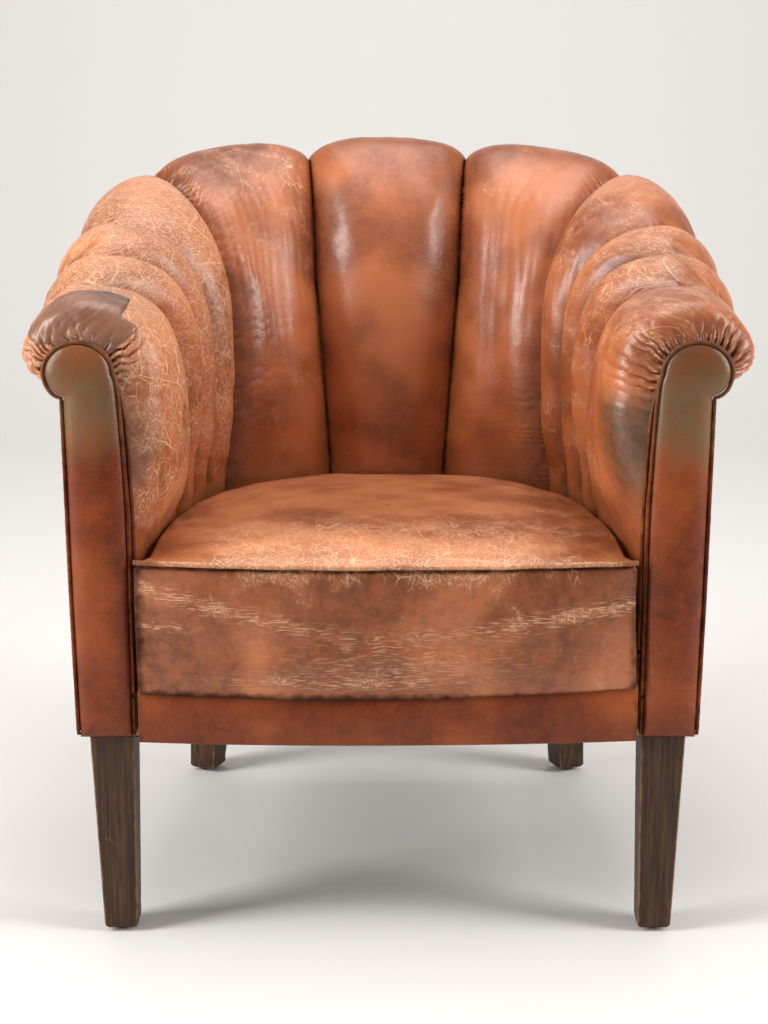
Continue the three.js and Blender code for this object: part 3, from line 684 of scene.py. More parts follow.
class Builder:
    """Adds nodes to a material's or a geometry tree. An input is a value or another node's output."""

    def __init__(self, tree):
        self.tree = tree

    def node(self, kind, inputs=(), **settings):
        made = self.tree.nodes.new(kind)
        for key, value in settings.items():
            setattr(made, key, value)
        for key, value in dict(inputs).items():
            if isinstance(value, bpy.types.NodeSocket):
                self.tree.links.new(value, made.inputs[key])
            else:
                made.inputs[key].default_value = value
        return made

    def math(self, operation, *values):
        return self.node("ShaderNodeMath", enumerate(values), operation=operation).outputs[0]

    def times(self, *values):
        result = values[0]
        for value in values[1:]:
            result = self.math("MULTIPLY", result, value)
        return result

    def plus(self, *values):
        result = values[0]
        for value in values[1:]:
            result = self.math("ADD", result, value)
        return result

    def minus(self, first, second):
        return self.math("SUBTRACT", first, second)

    def between(self, value, low, high, first=0.0, last=1.0):
        """first below low, last above high, and smooth in between."""
        inputs = enumerate((value, low, high, first, last))
        return self.node("ShaderNodeMapRange", inputs, interpolation_type="SMOOTHSTEP").outputs[0]

    def blend(self, share, low, high):
        made = self.node("ShaderNodeMix", {0: share, 6: low, 7: high}, data_type="RGBA")
        return made.outputs[2]

    def stretch(self, vector, scale, offset=(0, 0, 0)):
        inputs = {"Vector": vector, "Scale": scale, "Location": offset}
        return self.node("ShaderNodeMapping", inputs).outputs[0]

    def warp(self, vector, scale, amount):
        """vector pushed about by smooth noise."""
        texture = self.node("ShaderNodeTexNoise", {"Vector": vector, "Scale": scale, "Detail": 1.0})
        noise = texture.outputs["Color"]
        shifted = self.node("ShaderNodeVectorMath", {0: noise, 1: (0.5, 0.5, 0.5)}, operation="SUBTRACT")
        centred = shifted.outputs[0]
        inputs = {0: centred, "Scale": amount}
        pushed = self.node("ShaderNodeVectorMath", inputs, operation="SCALE").outputs[0]
        return self.node("ShaderNodeVectorMath", {0: vector, 1: pushed}, operation="ADD").outputs[0]

    def noise(self, vector, scale, detail=3.0, roughness=0.55):
        inputs = {"Vector": vector, "Scale": scale, "Detail": detail, "Roughness": roughness}
        return self.node("ShaderNodeTexNoise", inputs).outputs[0]

    def cells(self, vector, scale):
        """Distance to the nearest border between random cells."""
        inputs = {"Vector": vector, "Scale": scale}
        return self.node("ShaderNodeTexVoronoi", inputs, feature="DISTANCE_TO_EDGE").outputs["Distance"]

    def number(self, name):
        """A number that the mesh carries for each point."""
        return self.node("ShaderNodeAttribute", attribute_name=name).outputs["Fac"]

    def object_place(self):
        return self.node("ShaderNodeTexCoord").outputs["Object"]

    def hide_place(self):
        return self.node("ShaderNodeUVMap", uv_map="hide").outputs[0]

    def use(self, tree, **inputs):
        """The outputs of a node group whose inputs are given by name."""
        return self.node("ShaderNodeGroup", inputs, node_tree=tree).outputs


def new_group(name, inputs, outputs):
    """A shader node group: its builder, its input sockets and a function that fills its outputs."""
    tree = bpy.data.node_groups.new(name, "ShaderNodeTree")
    for label, value in inputs.items():
        kind = "NodeSocketVector" if value is None else "NodeSocketFloat"
        socket = tree.interface.new_socket(label, in_out="INPUT", socket_type=kind)
        if value is not None:
            socket.default_value = value
    for label in outputs:
        tree.interface.new_socket(label, in_out="OUTPUT", socket_type="NodeSocketFloat")
    source = tree.nodes.new("NodeGroupInput").outputs
    sink = tree.nodes.new("NodeGroupOutput").inputs

    def fill(label, value):
        tree.links.new(value, sink[label])

    return tree, Builder(tree), source, fill


def make_hide_grain():
    """The pebbled grain of a hide. Height is in millimetres."""
    tree, shader, given, fill = new_group("hide_grain", {"Vector": None, "Scale": 650.0}, ["Height"])
    inputs = {"Vector": given["Vector"], "Scale": given["Scale"]}
    pebbles = shader.node("ShaderNodeTexVoronoi", inputs, feature="F1").outputs["Distance"]
    soft = shader.noise(given["Vector"], 210.0, 1.0)
    fill("Height", shader.plus(shader.times(pebbles, -0.10), shader.times(soft, 0.17)))
    return tree


def make_crazing():
    """A net of fine cracks, in patches. Amount is from 0, none, to 1, all over."""
    inputs = {"Vector": None, "Cell": 0.006, "Line": 0.07, "Amount": 0.5, "Patch": 0.05, "Broken": 0.5}
    tree, shader, given, fill = new_group("crazing", inputs, ["Cracks", "Patches"])
    scale = shader.math("DIVIDE", 1.0, given["Cell"])
    bent = shader.warp(given["Vector"], shader.times(scale, 0.35), shader.times(given["Cell"], 0.45))
    bent = shader.warp(bent, shader.times(scale, 5.0), shader.times(given["Cell"], 0.07))
    lines = shader.between(shader.cells(bent, scale), 0.0, given["Line"], 1.0, 0.0)
    patches = shader.noise(given["Vector"], shader.math("DIVIDE", 1.0, given["Patch"]), 2.0, 0.6)
    threshold = shader.between(given["Amount"], 0.0, 1.0, 0.82, 0.26)
    patches = shader.between(shader.minus(patches, threshold), -0.10, 0.14)
    kept = shader.minus(shader.noise(given["Vector"], shader.times(scale, 0.9), 1.0), given["Broken"])
    broken = shader.between(kept, -0.06, 0.08)
    fill("Cracks", shader.times(lines, patches, broken))
    fill("Patches", patches)
    return tree


def make_patina():
    """Cloudy variation of an old finish: broad clouds and small mottles, each from 0 to 1."""
    tree, shader, given, fill = new_group("patina", {"Vector": None, "Size": 0.12}, ["Clouds", "Mottle"])
    scale = shader.math("DIVIDE", 1.0, given["Size"])
    clouds = shader.noise(given["Vector"], scale, 3.0, 0.6)
    fill("Clouds", shader.between(clouds, 0.34, 0.68))
    mottle = shader.noise(given["Vector"], shader.times(scale, 8.0), 4.0, 0.65)
    fill("Mottle", shader.between(mottle, 0.35, 0.68))
    return tree


def make_soiling_and_shade():
    """Dark dirt and painted shade that gather where a piece meets a seam, from 0 to 1."""
    inputs = {"Vector": None, "Seam": 1.0, "Reach": 0.45}
    tree, shader, given, fill = new_group("soiling_and_shade", inputs, ["Dirt_and_shade"])
    ragged = shader.times(shader.minus(shader.noise(given["Vector"], 80.0, 2.0), 0.5), 0.5)
    near = shader.between(shader.plus(given["Seam"], ragged), 0.0, given["Reach"], 1.0, 0.0)
    fill("Dirt_and_shade", near)
    return tree


HIDE_GRAIN = make_hide_grain()
CRAZING = make_crazing()
PATINA = make_patina()
SOILING_AND_SHADE = make_soiling_and_shade()


def new_material(name, **uniform):
    """A material, its builder and its Principled shader, with sockets that are the same all over set."""
    material = bpy.data.materials.new(name)
    material.use_nodes = True
    shader = Builder(material.node_tree)
    surface = material.node_tree.nodes["Principled BSDF"]
    for label, value in uniform.items():
        surface.inputs[label.replace("_", " ")].default_value = value
    return material, shader, surface


def finish_surface(shader, surface, colour, roughness, height):
    """Links a finish's own colour, roughness and relief, whose height is in millimetres."""
    links = shader.tree.links
    links.new(colour, surface.inputs["Base Color"])
    links.new(roughness, surface.inputs["Roughness"])
    bump = shader.node("ShaderNodeBump", {"Height": height, "Distance": MM, "Strength": 1.0})
    links.new(bump.outputs[0], surface.inputs["Normal"])


# ---------- finishes ----------
PALE_CRACK = linear(232, 188, 150)
SCUFFED = linear(190, 126, 86)
HAND_DIRT = linear(102, 86, 60)
# The colour of dirt in seams, and of the painted shade in seams, fold hollows and recesses.
SEAM_DIRT_AND_SHADE = linear(34, 16, 9)


def leather(name, dark, middle, light, crack_share=1.0, gloss=0.34, shine=0.55, stretch=(1.5, 0.8, 1.0),
            scuffs=False, hand_dirt=HAND_DIRT):
    """Worn finished leather. It reads the numbers seam, wear, crown and grime from the mesh; seam brings dirt
    and painted shade, and crown lightens it, in places as painted light.
    """
    material, shader, surface = new_material(name, Coat_Roughness=0.20)
    place = shader.object_place()
    hide = shader.hide_place()
    pulled = shader.stretch(hide, stretch)
    wear = shader.times(shader.number("wear"), crack_share)
    scuffed = shader.number("scuff") if scuffs else None
    flecked = shader.math("MAXIMUM", wear, scuffed) if scuffs else wear
    patina = shader.use(PATINA, Vector=place, Size=0.12)
    grain = shader.use(HIDE_GRAIN, Vector=place, Scale=560.0)
    dirt_and_shade = shader.use(SOILING_AND_SHADE, Vector=place, Seam=shader.number("seam"), Reach=0.42)["Dirt_and_shade"]
    fine = shader.use(CRAZING, Vector=hide, Cell=0.0040, Line=0.15, Amount=flecked, Patch=0.035, Broken=0.5)
    net = shader.use(CRAZING, Vector=pulled, Cell=0.019, Line=0.034, Amount=wear, Patch=0.10,
                     Broken=0.42)["Cracks"]
    long_amount = shader.between(wear, 0.0, 1.0, 0.1, 0.8)
    creases = shader.use(CRAZING, Vector=shader.stretch(hide, (0.55, 1.0, 1.0)), Cell=0.045, Line=0.015,
                         Amount=long_amount, Patch=0.14, Broken=0.46)["Cracks"]
    crown = shader.number("crown")

    # crown is painted light and shade on the pads, the seat's top and the facings, and a random tone on other
    # pieces. With the clouds it lightens the colour; where both are low the colour is darkened, a painted
    # shade.
    tone_and_painted_light = shader.plus(shader.times(patina["Clouds"], 0.55), shader.times(crown, 0.45))
    colour = shader.blend(shader.between(tone_and_painted_light, 0.15, 0.95), middle, light)
    darkened = shader.times(shader.plus(0.3, patina["Mottle"]), shader.minus(1.0, tone_and_painted_light), 0.7)
    colour = shader.blend(darkened, colour, dark)
    rubbed = shader.times(fine["Patches"], flecked, 0.38)
    colour = shader.blend(rubbed, colour, SCUFFED)
    specks = shader.times(shader.between(shader.noise(place, 620.0, 2.0), 0.56, 0.66), fine["Patches"])
    cracks = shader.math("MAXIMUM", shader.times(fine["Cracks"], 0.6), shader.times(net, 0.8))
    cracks = shader.math("MAXIMUM", cracks, shader.times(specks, shader.between(flecked, 0.2, 0.9), 0.7))
    cracks = shader.math("MAXIMUM", cracks, shader.times(creases, 0.8))
    if scuffs:
        bent = shader.warp(hide, 22.0, 0.012)
        drawn = shader.noise(shader.stretch(bent, (60, 640, 1)), 1.0, 3.0, 0.6)
        streaks = shader.times(shader.between(drawn, 0.52, 0.62), shader.between(scuffed, 0.05, 0.8))
        cracks = shader.math("MAXIMUM", cracks, shader.times(streaks, 0.8))
    colour = shader.blend(shader.times(cracks, 0.85), colour, PALE_CRACK)
    # Seams, fold hollows and recesses go dark: part dirt, part painted shade.
    colour = shader.blend(shader.times(dirt_and_shade, 0.88), colour, SEAM_DIRT_AND_SHADE)
    hand = shader.times(shader.number("grime"), shader.between(patina["Mottle"], 0.0, 1.0, 0.70, 0.92))
    colour = shader.blend(hand, colour, hand_dirt)

    roughness = shader.plus(gloss - 0.08, shader.times(patina["Mottle"], 0.10), shader.times(cracks, 0.2),
                            shader.times(rubbed, 0.25))
    wrinkles = shader.noise(shader.stretch(hide, (150, 420, 1)), 1.0, 2.0)
    height = shader.plus(grain["Height"], shader.times(wrinkles, 0.14))
    # Dirt and painted shade also take away the gloss.
    free_of_dirt_and_shade = shader.minus(1.0, shader.times(dirt_and_shade, 0.85))
    shader.tree.links.new(shader.times(free_of_dirt_and_shade, shine), surface.inputs["Specular IOR Level"])
    shader.tree.links.new(shader.times(free_of_dirt_and_shade, 0.2 * shine), surface.inputs["Coat Weight"])
    finish_surface(shader, surface, colour, roughness, height)
    return material


def oak(name):
    """Dark stained oak with open pores along the legs, rubbed pale on its edges."""
    material, shader, surface = new_material(name, Specular_IOR_Level=0.28)
    place = shader.object_place()
    figure = shader.noise(shader.stretch(place, (240, 240, 6)), 1.0, 3.0, 0.6)
    pores = shader.between(shader.noise(shader.stretch(place, (900, 900, 22)), 1.0, 1.0), 0.52, 0.64)
    colour = shader.blend(shader.between(figure, 0.3, 0.75), linear(48, 30, 17), linear(82, 55, 32))
    colour = shader.blend(shader.times(pores, 0.6), colour, linear(30, 19, 13))
    chipped = shader.minus(shader.noise(place, 70.0, 3.0), 0.5)
    ragged = shader.plus(shader.number("edge"), shader.times(chipped, 0.9))
    rubbed = shader.between(ragged, 0.70, 1.0)
    colour = shader.blend(shader.times(rubbed, 0.55), colour, linear(140, 104, 72))
    scuffs = shader.use(CRAZING, Vector=shader.stretch(place, (1, 1, 0.35)), Cell=0.02, Line=0.03,
                        Amount=0.35, Patch=0.05)["Cracks"]
    colour = shader.blend(shader.times(scuffs, 0.45), colour, linear(160, 130, 100))
    roughness = shader.plus(0.42, shader.times(figure, 0.2), shader.times(rubbed, 0.1))
    height = shader.plus(shader.times(figure, 0.12), shader.times(pores, -0.16), shader.times(rubbed, -0.1))
    finish_surface(shader, surface, colour, roughness, height)
    return material


def plain_wood(name):
    """Sawn beech that no one sees."""
    material, shader, surface = new_material(name)
    place = shader.object_place()
    figure = shader.noise(shader.warp(shader.stretch(place, (40, 140, 140)), 0.4, 0.6), 1.0, 4.0)
    flecks = shader.between(shader.noise(shader.stretch(place, (90, 700, 700)), 1.0, 2.0), 0.56, 0.66)
    colour = shader.blend(figure, linear(176, 132, 92), linear(214, 178, 136))
    colour = shader.blend(shader.times(flecks, 0.5), colour, linear(140, 96, 62))
    height = shader.times(figure, 0.2)
    finish_surface(shader, surface, colour, shader.between(figure, 0.0, 1.0, 0.6, 0.8), height)
    return material


def worn_steel(name, dark, bright):
    material, shader, surface = new_material(name, Metallic=1.0)
    place = shader.object_place()
    tarnish = shader.noise(place, 260.0, 5.0, 0.65)
    colour = shader.blend(shader.between(tarnish, 0.4, 0.65), dark, bright)
    roughness = shader.between(tarnish, 0.3, 0.7, 0.35, 0.6)
    finish_surface(shader, surface, colour, roughness, shader.times(tarnish, 0.03))
    return material


WAVE_BANDS = 20 / math.tau  # bands in a metre that a wave texture makes for each unit of its scale


def woven(name, dark, light, threads):
    """Plain woven cloth with that many threads in a metre."""
    material, shader, surface = new_material(name, Sheen_Weight=0.2, Sheen_Roughness=0.5)
    place = shader.object_place()
    waves = []
    for direction in ("X", "Y"):
        inputs = {"Vector": shader.warp(place, 60.0, 0.0012), "Scale": threads / WAVE_BANDS}
        wave = shader.node("ShaderNodeTexWave", inputs, bands_direction=direction)
        waves.append(wave.outputs["Fac"])
    weave = shader.math("MAXIMUM", *waves)
    fuzz = shader.noise(place, 700.0, 3.0)
    dust = shader.noise(place, 25.0, 5.0, 0.6)
    share = shader.plus(shader.times(weave, 0.6), shader.times(dust, 0.5))
    colour = shader.blend(shader.between(share, 0.2, 1.0), dark, light)
    height = shader.plus(shader.times(weave, 0.25), shader.times(fuzz, 0.12))
    finish_surface(shader, surface, colour, shader.between(dust, 0.3, 0.7, 0.8, 0.95), height)
    return material


def loose_fibre(name):
    """Stitched coir stuffing, a mat of pale strands."""
    material, shader, surface = new_material(name)
    place = shader.object_place()
    strands = shader.use(CRAZING, Vector=place, Cell=0.004, Line=0.25, Amount=1.0, Patch=0.05)["Cracks"]
    tone = shader.noise(place, 60.0, 5.0, 0.7)
    colour = shader.blend(tone, linear(92, 70, 44), linear(160, 128, 84))
    colour = shader.blend(shader.times(strands, 0.5), colour, linear(196, 170, 120))
    roughness = shader.between(tone, 0.0, 1.0, 0.85, 1.0)
    finish_surface(shader, surface, colour, roughness, shader.times(strands, 0.8))
    return material


LEATHER = leather("worn_leather", linear(84, 36, 14), linear(140, 72, 36), linear(184, 106, 62), gloss=0.42,
                  hand_dirt=linear(72, 54, 34))
SEAT_LEATHER = leather("seat_leather", linear(90, 42, 17), linear(142, 76, 40), linear(196, 120, 76),
                       gloss=0.42, shine=0.46, stretch=(1.4, 0.7, 1.0), scuffs=True)
OUTSIDE_LEATHER = leather("outside_leather", linear(78, 30, 10), linear(118, 50, 18), linear(152, 76, 32),
                          crack_share=0.5, gloss=0.32, shine=0.24)
PIPING_LEATHER = leather("piping_leather", linear(92, 46, 22), linear(132, 74, 42), linear(196, 134, 94),
                         gloss=0.36, shine=0.36)
PATCH_LEATHER = leather("patch_leather", linear(60, 30, 18), linear(104, 62, 42), linear(150, 102, 76),
                        crack_share=0.6, gloss=0.42)
DARK_OAK = oak("dark_oak")
BEECH = plain_wood("beech")
SPRING_STEEL = worn_steel("spring_steel", linear(70, 62, 54), linear(150, 144, 136))
GLIDE_STEEL = worn_steel("glide_steel", linear(24, 22, 20), linear(96, 90, 84))
TACK_STEEL = worn_steel("tack_steel", linear(30, 26, 24), linear(90, 82, 74))
JUTE = woven("jute", linear(120, 92, 56), linear(188, 158, 110), 177.318)
CAMBRIC = woven("cambric", linear(16, 15, 15), linear(62, 58, 54), 455.960)
FIBRE = loose_fibre("fibre")


# ---------- geometry node trees ----------
def new_geometry_tree(name, inputs):
    """A geometry tree with named sizes. Gives its builder, its inputs and a function that ends it."""
    tree = bpy.data.node_groups.new(name, "GeometryNodeTree")
    tree.interface.new_socket("Geometry", in_out="INPUT", socket_type="NodeSocketGeometry")
    for label, value in inputs.items():
        kind = {int: "NodeSocketInt", float: "NodeSocketFloat"}.get(type(value), "NodeSocketMaterial")
        socket = tree.interface.new_socket(label, in_out="INPUT", socket_type=kind)
        if value is not None:
            socket.default_value = value
    tree.interface.new_socket("Geometry", in_out="OUTPUT", socket_type="NodeSocketGeometry")
    build = Builder(tree)
    given = tree.nodes.new("NodeGroupInput").outputs
    sink = tree.nodes.new("NodeGroupOutput").inputs

    def end(geometry):
        real = build.node("GeometryNodeRealizeInstances", {"Geometry": geometry}).outputs[0]
        named = build.node("GeometryNodeSetMaterial", {"Geometry": real, "Material": given["Material"]})
        tree.links.new(named.outputs[0], sink[0])

    return tree, build, given, end


def make_welt_tree():
    """A cord in a leather casing along a path, a little uneven."""
    sizes = {"Radius": 0.0022, "Sides": 10, "Unevenness": 0.0003, "Material": None}
    tree, build, given, end = new_geometry_tree("welt_along_path", sizes)
    path = build.node("GeometryNodeMeshToCurve", {"Mesh": given["Geometry"]}).outputs[0]
    section = build.node("GeometryNodeCurvePrimitiveCircle",
                         {"Resolution": given["Sides"], "Radius": given["Radius"]}).outputs["Curve"]
    tube = build.node("GeometryNodeCurveToMesh",
                      {"Curve": path, "Profile Curve": section, "Fill Caps": True}).outputs[0]
    normal = build.node("GeometryNodeInputNormal").outputs[0]
    place = build.node("GeometryNodeInputPosition").outputs[0]
    rough = build.minus(build.noise(place, 160.0, 3.0), 0.5)
    amount = build.times(rough, given["Unevenness"], 4.0)
    offset = build.node("ShaderNodeVectorMath", {0: normal, "Scale": amount}, operation="SCALE").outputs[0]
    moved = build.node("GeometryNodeSetPosition", {"Geometry": tube, "Offset": offset}).outputs[0]
    smooth = build.node("GeometryNodeSetShadeSmooth", {"Geometry": moved}).outputs[0]
    end(smooth)
    return tree


def make_row_tree(name, sizes, make_one):
    """A row of small things set along a path. make_one gives one of them, made at the origin."""
    tree, build, given, end = new_geometry_tree(name, {"Spacing": 0.02, "Seed": 1, **sizes, "Material": None})
    path = build.node("GeometryNodeMeshToCurve", {"Mesh": given["Geometry"]}).outputs[0]
    stepped = {"Curve": path, "Length": given["Spacing"]}
    points = build.node("GeometryNodeCurveToPoints", stepped, mode="LENGTH")
    turned = build.node("FunctionNodeAlignEulerToVector", {"Vector": points.outputs["Tangent"]}, axis="X")
    size = build.node("FunctionNodeRandomValue", {2: 0.85, 3: 1.15, "Seed": given["Seed"]}, data_type="FLOAT")
    placed = build.node("GeometryNodeInstanceOnPoints", {
        "Points": points.outputs["Points"],
        "Instance": make_one(build, given),
        "Rotation": turned.outputs[0],
        "Scale": size.outputs[1],
    }).outputs[0]
    end(placed)
    return tree


def one_tack(build, given):
    """A low domed tack head, on its side towards the ground."""
    ball = build.node("GeometryNodeMeshUVSphere",
                      {"Segments": 10, "Rings": 6, "Radius": given["Head radius"]}).outputs["Mesh"]
    flat = build.node("GeometryNodeTransform", {"Geometry": ball, "Scale": (1, 1, 0.45)}).outputs[0]
    return build.node("GeometryNodeSetShadeSmooth", {"Geometry": flat}).outputs[0]


def one_stitch(build, given):
    """A short stitch of thread, fat in the middle, that lies along the path."""
    ball = build.node("GeometryNodeMeshUVSphere",
                      {"Segments": 6, "Rings": 6, "Radius": given["Thread radius"]}).outputs["Mesh"]
    long = build.node("GeometryNodeTransform", {"Geometry": ball, "Scale": (3.6, 1, 1)}).outputs[0]
    return build.node("GeometryNodeSetShadeSmooth", {"Geometry": long}).outputs[0]


COIL_POINTS = 200


def make_coil_tree():
    """A waisted seat spring, made along its own coil. Its points sit on the path's height."""
    sizes = {"Wire radius": 0.002, "Turns": 4.0, "End radius": 0.05, "Waist radius": 0.034, "Material": None}
    tree, build, given, end = new_geometry_tree("coil_springs", sizes)
    line = build.node("GeometryNodeMeshLine", {"Count": COIL_POINTS, "Offset": (0, 0, 1)}).outputs[0]
    index = build.node("GeometryNodeInputIndex").outputs[0]
    share = build.math("DIVIDE", index, COIL_POINTS - 1.0)
    angle = build.times(share, given["Turns"], math.tau)
    waist = build.math("SINE", build.times(share, math.pi))
    narrower = build.minus(given["Waist radius"], given["End radius"])
    radius = build.plus(given["End radius"], build.times(waist, narrower))
    flat_ends = build.between(share, 0.09, 0.91)
    place = build.node("ShaderNodeCombineXYZ", {
        "X": build.times(radius, build.math("COSINE", angle)),
        "Y": build.times(radius, build.math("SINE", angle)),
        "Z": build.math("ADD", build.times(share, 0.35), build.times(flat_ends, 0.65)),
    }).outputs[0]
    coil = build.node("GeometryNodeSetPosition", {"Geometry": line, "Position": place}).outputs[0]
    # The path's points are the springs' feet, and each carries its own height.
    height = build.node("GeometryNodeInputNamedAttribute", {"Name": "height"}, data_type="FLOAT").outputs[0]
    scale = build.node("ShaderNodeCombineXYZ", {"X": 1.0, "Y": 1.0, "Z": height}).outputs[0]
    placed = build.node("GeometryNodeInstanceOnPoints",
                        {"Points": given["Geometry"], "Instance": coil, "Scale": scale}).outputs[0]
    real = build.node("GeometryNodeRealizeInstances", {"Geometry": placed}).outputs[0]
    wire = build.node("GeometryNodeMeshToCurve", {"Mesh": real}).outputs[0]
    section = build.node("GeometryNodeCurvePrimitiveCircle",
                         {"Resolution": 8, "Radius": given["Wire radius"]}).outputs["Curve"]
    tube = build.node("GeometryNodeCurveToMesh",
                      {"Curve": wire, "Profile Curve": section, "Fill Caps": True}).outputs[0]
    end(build.node("GeometryNodeSetShadeSmooth", {"Geometry": tube}).outputs[0])
    return tree


WELT = make_welt_tree()
TACKS = make_row_tree("row_of_tacks", {"Head radius": 0.0035}, one_tack)
STITCHES = make_row_tree("row_of_stitches", {"Thread radius": 0.0006}, one_stitch)
COILS = make_coil_tree()


def grown(name, paths, tree, inputs, numbers=None):
    """A plain mesh that a geometry tree makes along paths, which are lists of points in the frame."""
    points = np.concatenate([np.asarray(path) for path in paths])
    mesh = bpy.data.meshes.new(name + "_path")
    edges = []
    start = 0
    for path in paths:
        edges += [(start + step, start + step + 1) for step in range(len(path) - 1)]
        start += len(path)
    mesh.from_pydata(points.tolist(), edges if numbers is None else [], [])
    for label, values in (numbers or {}).items():
        mesh.attributes.new(label, "FLOAT", "POINT").data.foreach_set("value", np.asarray(values, np.float32))
    source = bpy.data.objects.new(name + "_path", mesh)
    bpy.context.scene.collection.objects.link(source)
    modifier = source.modifiers.new("grow", "NODES")
    modifier.node_group = tree
    sockets = {item.name: item.identifier for item in tree.interface.items_tree if item.in_out == "INPUT"}
    for label, value in inputs.items():
        modifier[sockets[label]] = value
    depsgraph = bpy.context.evaluated_depsgraph_get()
    made = bpy.data.meshes.new_from_object(source.evaluated_get(depsgraph), depsgraph=depsgraph)
    made.name = name
    bpy.data.objects.remove(source)
    piece = bpy.data.objects.new(name, made)
    bpy.context.scene.collection.objects.link(piece)
    return piece


def settle_in(piece, replaced=()):
    """Fastens a piece to the chair's one body and hides the CAD parts that it stands for."""
    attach(piece, "root")
    if replaced:
        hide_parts(*replaced)
    return piece


# ---------- patch on the left arm ----------
PATCH_LEVELS = (4.0, 6.75)
PATCH_SHARE = 0.48


def read_down(values, positions):
    """A grid whose columns are each read at their own row positions."""
    index = np.arange(len(values))
    columns = [np.interp(positions[:, number], index, values[:, number]) for number in range(values.shape[1])]
    return np.stack(columns, axis=1)


def make_patch(pads):
    """The leather patch over the front of the left arm's roll, with a stepped cut at its inner end."""
    _, skin, levels, shares = pads[-5]
    rows = np.flatnonzero((levels > PATCH_LEVELS[0]) & (levels < PATCH_LEVELS[1]))
    columns = np.flatnonzero(shares < PATCH_SHARE)
    part = skin[np.ix_(rows, columns)]
    across = walked(part, 1)
    along = walked(part, 0)
    share = shares[columns][None, :] + 0 * across
    # The inner edge is cut straight up the roll, with a tab left beside the facing.
    inner = np.where(share < 0.10, 4.12, 4.42)
    outer = 5.65 + 0.7 * smoothstep(across, 0.004, 0.026) + 0.06 * wander(share * 22, 74)
    # The mesh follows the cut a little way outside it, without the step's sharp corner.
    reach = 4.08 + 0.30 * smoothstep(share[0], 0.10, 0.24)
    level = np.linspace(reach, outer.max(0) + 0.05, len(rows))
    positions = np.interp(level, levels[rows], np.arange(len(rows)))
    part = np.stack([read_down(part[..., axis], positions) for axis in range(3)], axis=-1)
    across = read_down(across, positions)
    along = read_down(along, positions)
    outer = read_down(outer, positions)
    normal = grid_normals(part)
    back = 0.455 - 0.02 * (level - 4.4) + 0.012 * wander(level * 4, 75)
    inside = smoothstep(level - inner, 0, 0.05) * smoothstep(outer - level, 0, 0.06)
    inside *= smoothstep(back - share, 0, 0.012)
    wrinkle = 0.9 * drift(across / 0.013, along / 0.009, 71) + 0.5 * drift(across / 0.006, along / 0.005, 72)
    folds = gathers(along, across, 11 * MM, 34 * MM, 2.4 * MM, 77)
    rise = (1.6 + 0.5 * wrinkle) * MM * inside + folds * inside - 1.0 * MM * (1 - inside)
    front = part + normal * rise[..., None]
    picks = np.linspace(0, part.shape[1] - 1, 12).astype(int)
    back_skin = part[:, picks] - normal[:, picks] * 1.5 * MM
    points, faces = closed_skin(in_frame(front), in_frame(back_skin))
    piece = new_object("arm_patch_left", points, faces, PATCH_LEATHER)
    rim = np.minimum(np.minimum(level - inner, outer - level) * 0.05, (back - share) * 0.2)
    set_numbers(piece, "seam", 0.3 + smoothstep(rim, 0, 0.004))
    set_numbers(piece, "wear", 0.45 + 0.35 * drift(across / 0.03, along / 0.03, 73) + 1.2 * folds / MM * 0.1)
    set_numbers(piece, "crown", 0.45 + 0.45 * drift(across / 0.035 + 4, along / 0.03, 76))
    set_hide_map(piece, across, along)
    settle_in(piece, ["arm_patch_left"])


# ---------- seat ----------
SEAT_AROUND = {"front": 210, "rest": 200}
SEAT_RINGS = 66
BOXING_HEIGHTS = np.concatenate([np.linspace(0, 0.93, 38), np.linspace(0.93, 1, 12)[1:]])
BOXING_ROWS = len(BOXING_HEIGHTS)


def seat_front(x):
    """The bowed front of the seat in plan."""
    return SEAT_FRONT_Y - SEAT_BOW * (1 - (x / SEAT_FRONT_HALF_WIDTH) ** 2)


def seat_rim():
    """The seat's outline in plan: along the bowed front from the left, then round the back."""
    x = np.linspace(-SEAT_FRONT_HALF_WIDTH, SEAT_FRONT_HALF_WIDTH, SEAT_AROUND["front"])
    front = np.stack([x, seat_front(x)], -1)
    stations = np.linspace(1, -1, SEAT_AROUND["rest"] + 2)[1:-1]
    x, y = horseshoe(SEAT_HALF_WIDTH, SEAT_DEPTH, SEAT_SQUARE, stations)
    back = np.stack([np.sign(stations) * x, y], -1)
    return np.concatenate([front, back])


def boxing_line(rim, height):
    """The seat's side at a height share from 0 at its lower edge to 1 at the piping."""
    pull = np.stack([rim[:, 0], rim[:, 1] - SEAT_CENTRE_Y], -1)
    pull /= np.linalg.norm(pull, axis=-1, keepdims=True)
    count = SEAT_AROUND["front"]
    ends = np.minimum(np.arange(len(rim)), np.abs(count - 1 - np.arange(len(rim))))
    inner = smoothstep(ends, 0, 22)
    x = rim[:, 0]
    belly = 4.5 * MM * math.sin(math.pi * height) ** 0.8 * inner
    sag = 2.2 * MM * np.exp(-((height - 0.36 + 1.1 * np.abs(x)) / 0.10) ** 2)
    slack = 1.4 * MM * drift(x / 0.07 + 5, np.full_like(x, height / 0.35), 41)
    out = belly + (sag + slack) * inner
    out += 0.35 * MM * drift(x / 0.02 + 5, np.full_like(x, height / 0.08), 42)
    out -= 2.6 * MM * math.exp(-((height - 0.972) / 0.016) ** 2)  # drawn in under the piping
    # Both ends have drawn back from the arm fronts, the right one most above its middle.
    drawn = 3.0 * MM * np.exp(-((height - 0.72) / 0.42) ** 2) * smoothstep(x, 0.225, 0.262)
    drawn += 3.0 * MM * smoothstep(-x, 0.24, 0.262) * height**0.3
    point = rim + pull * out[:, None]
    point[:, 0] -= drawn * (np.arange(len(rim)) < count)
    return point


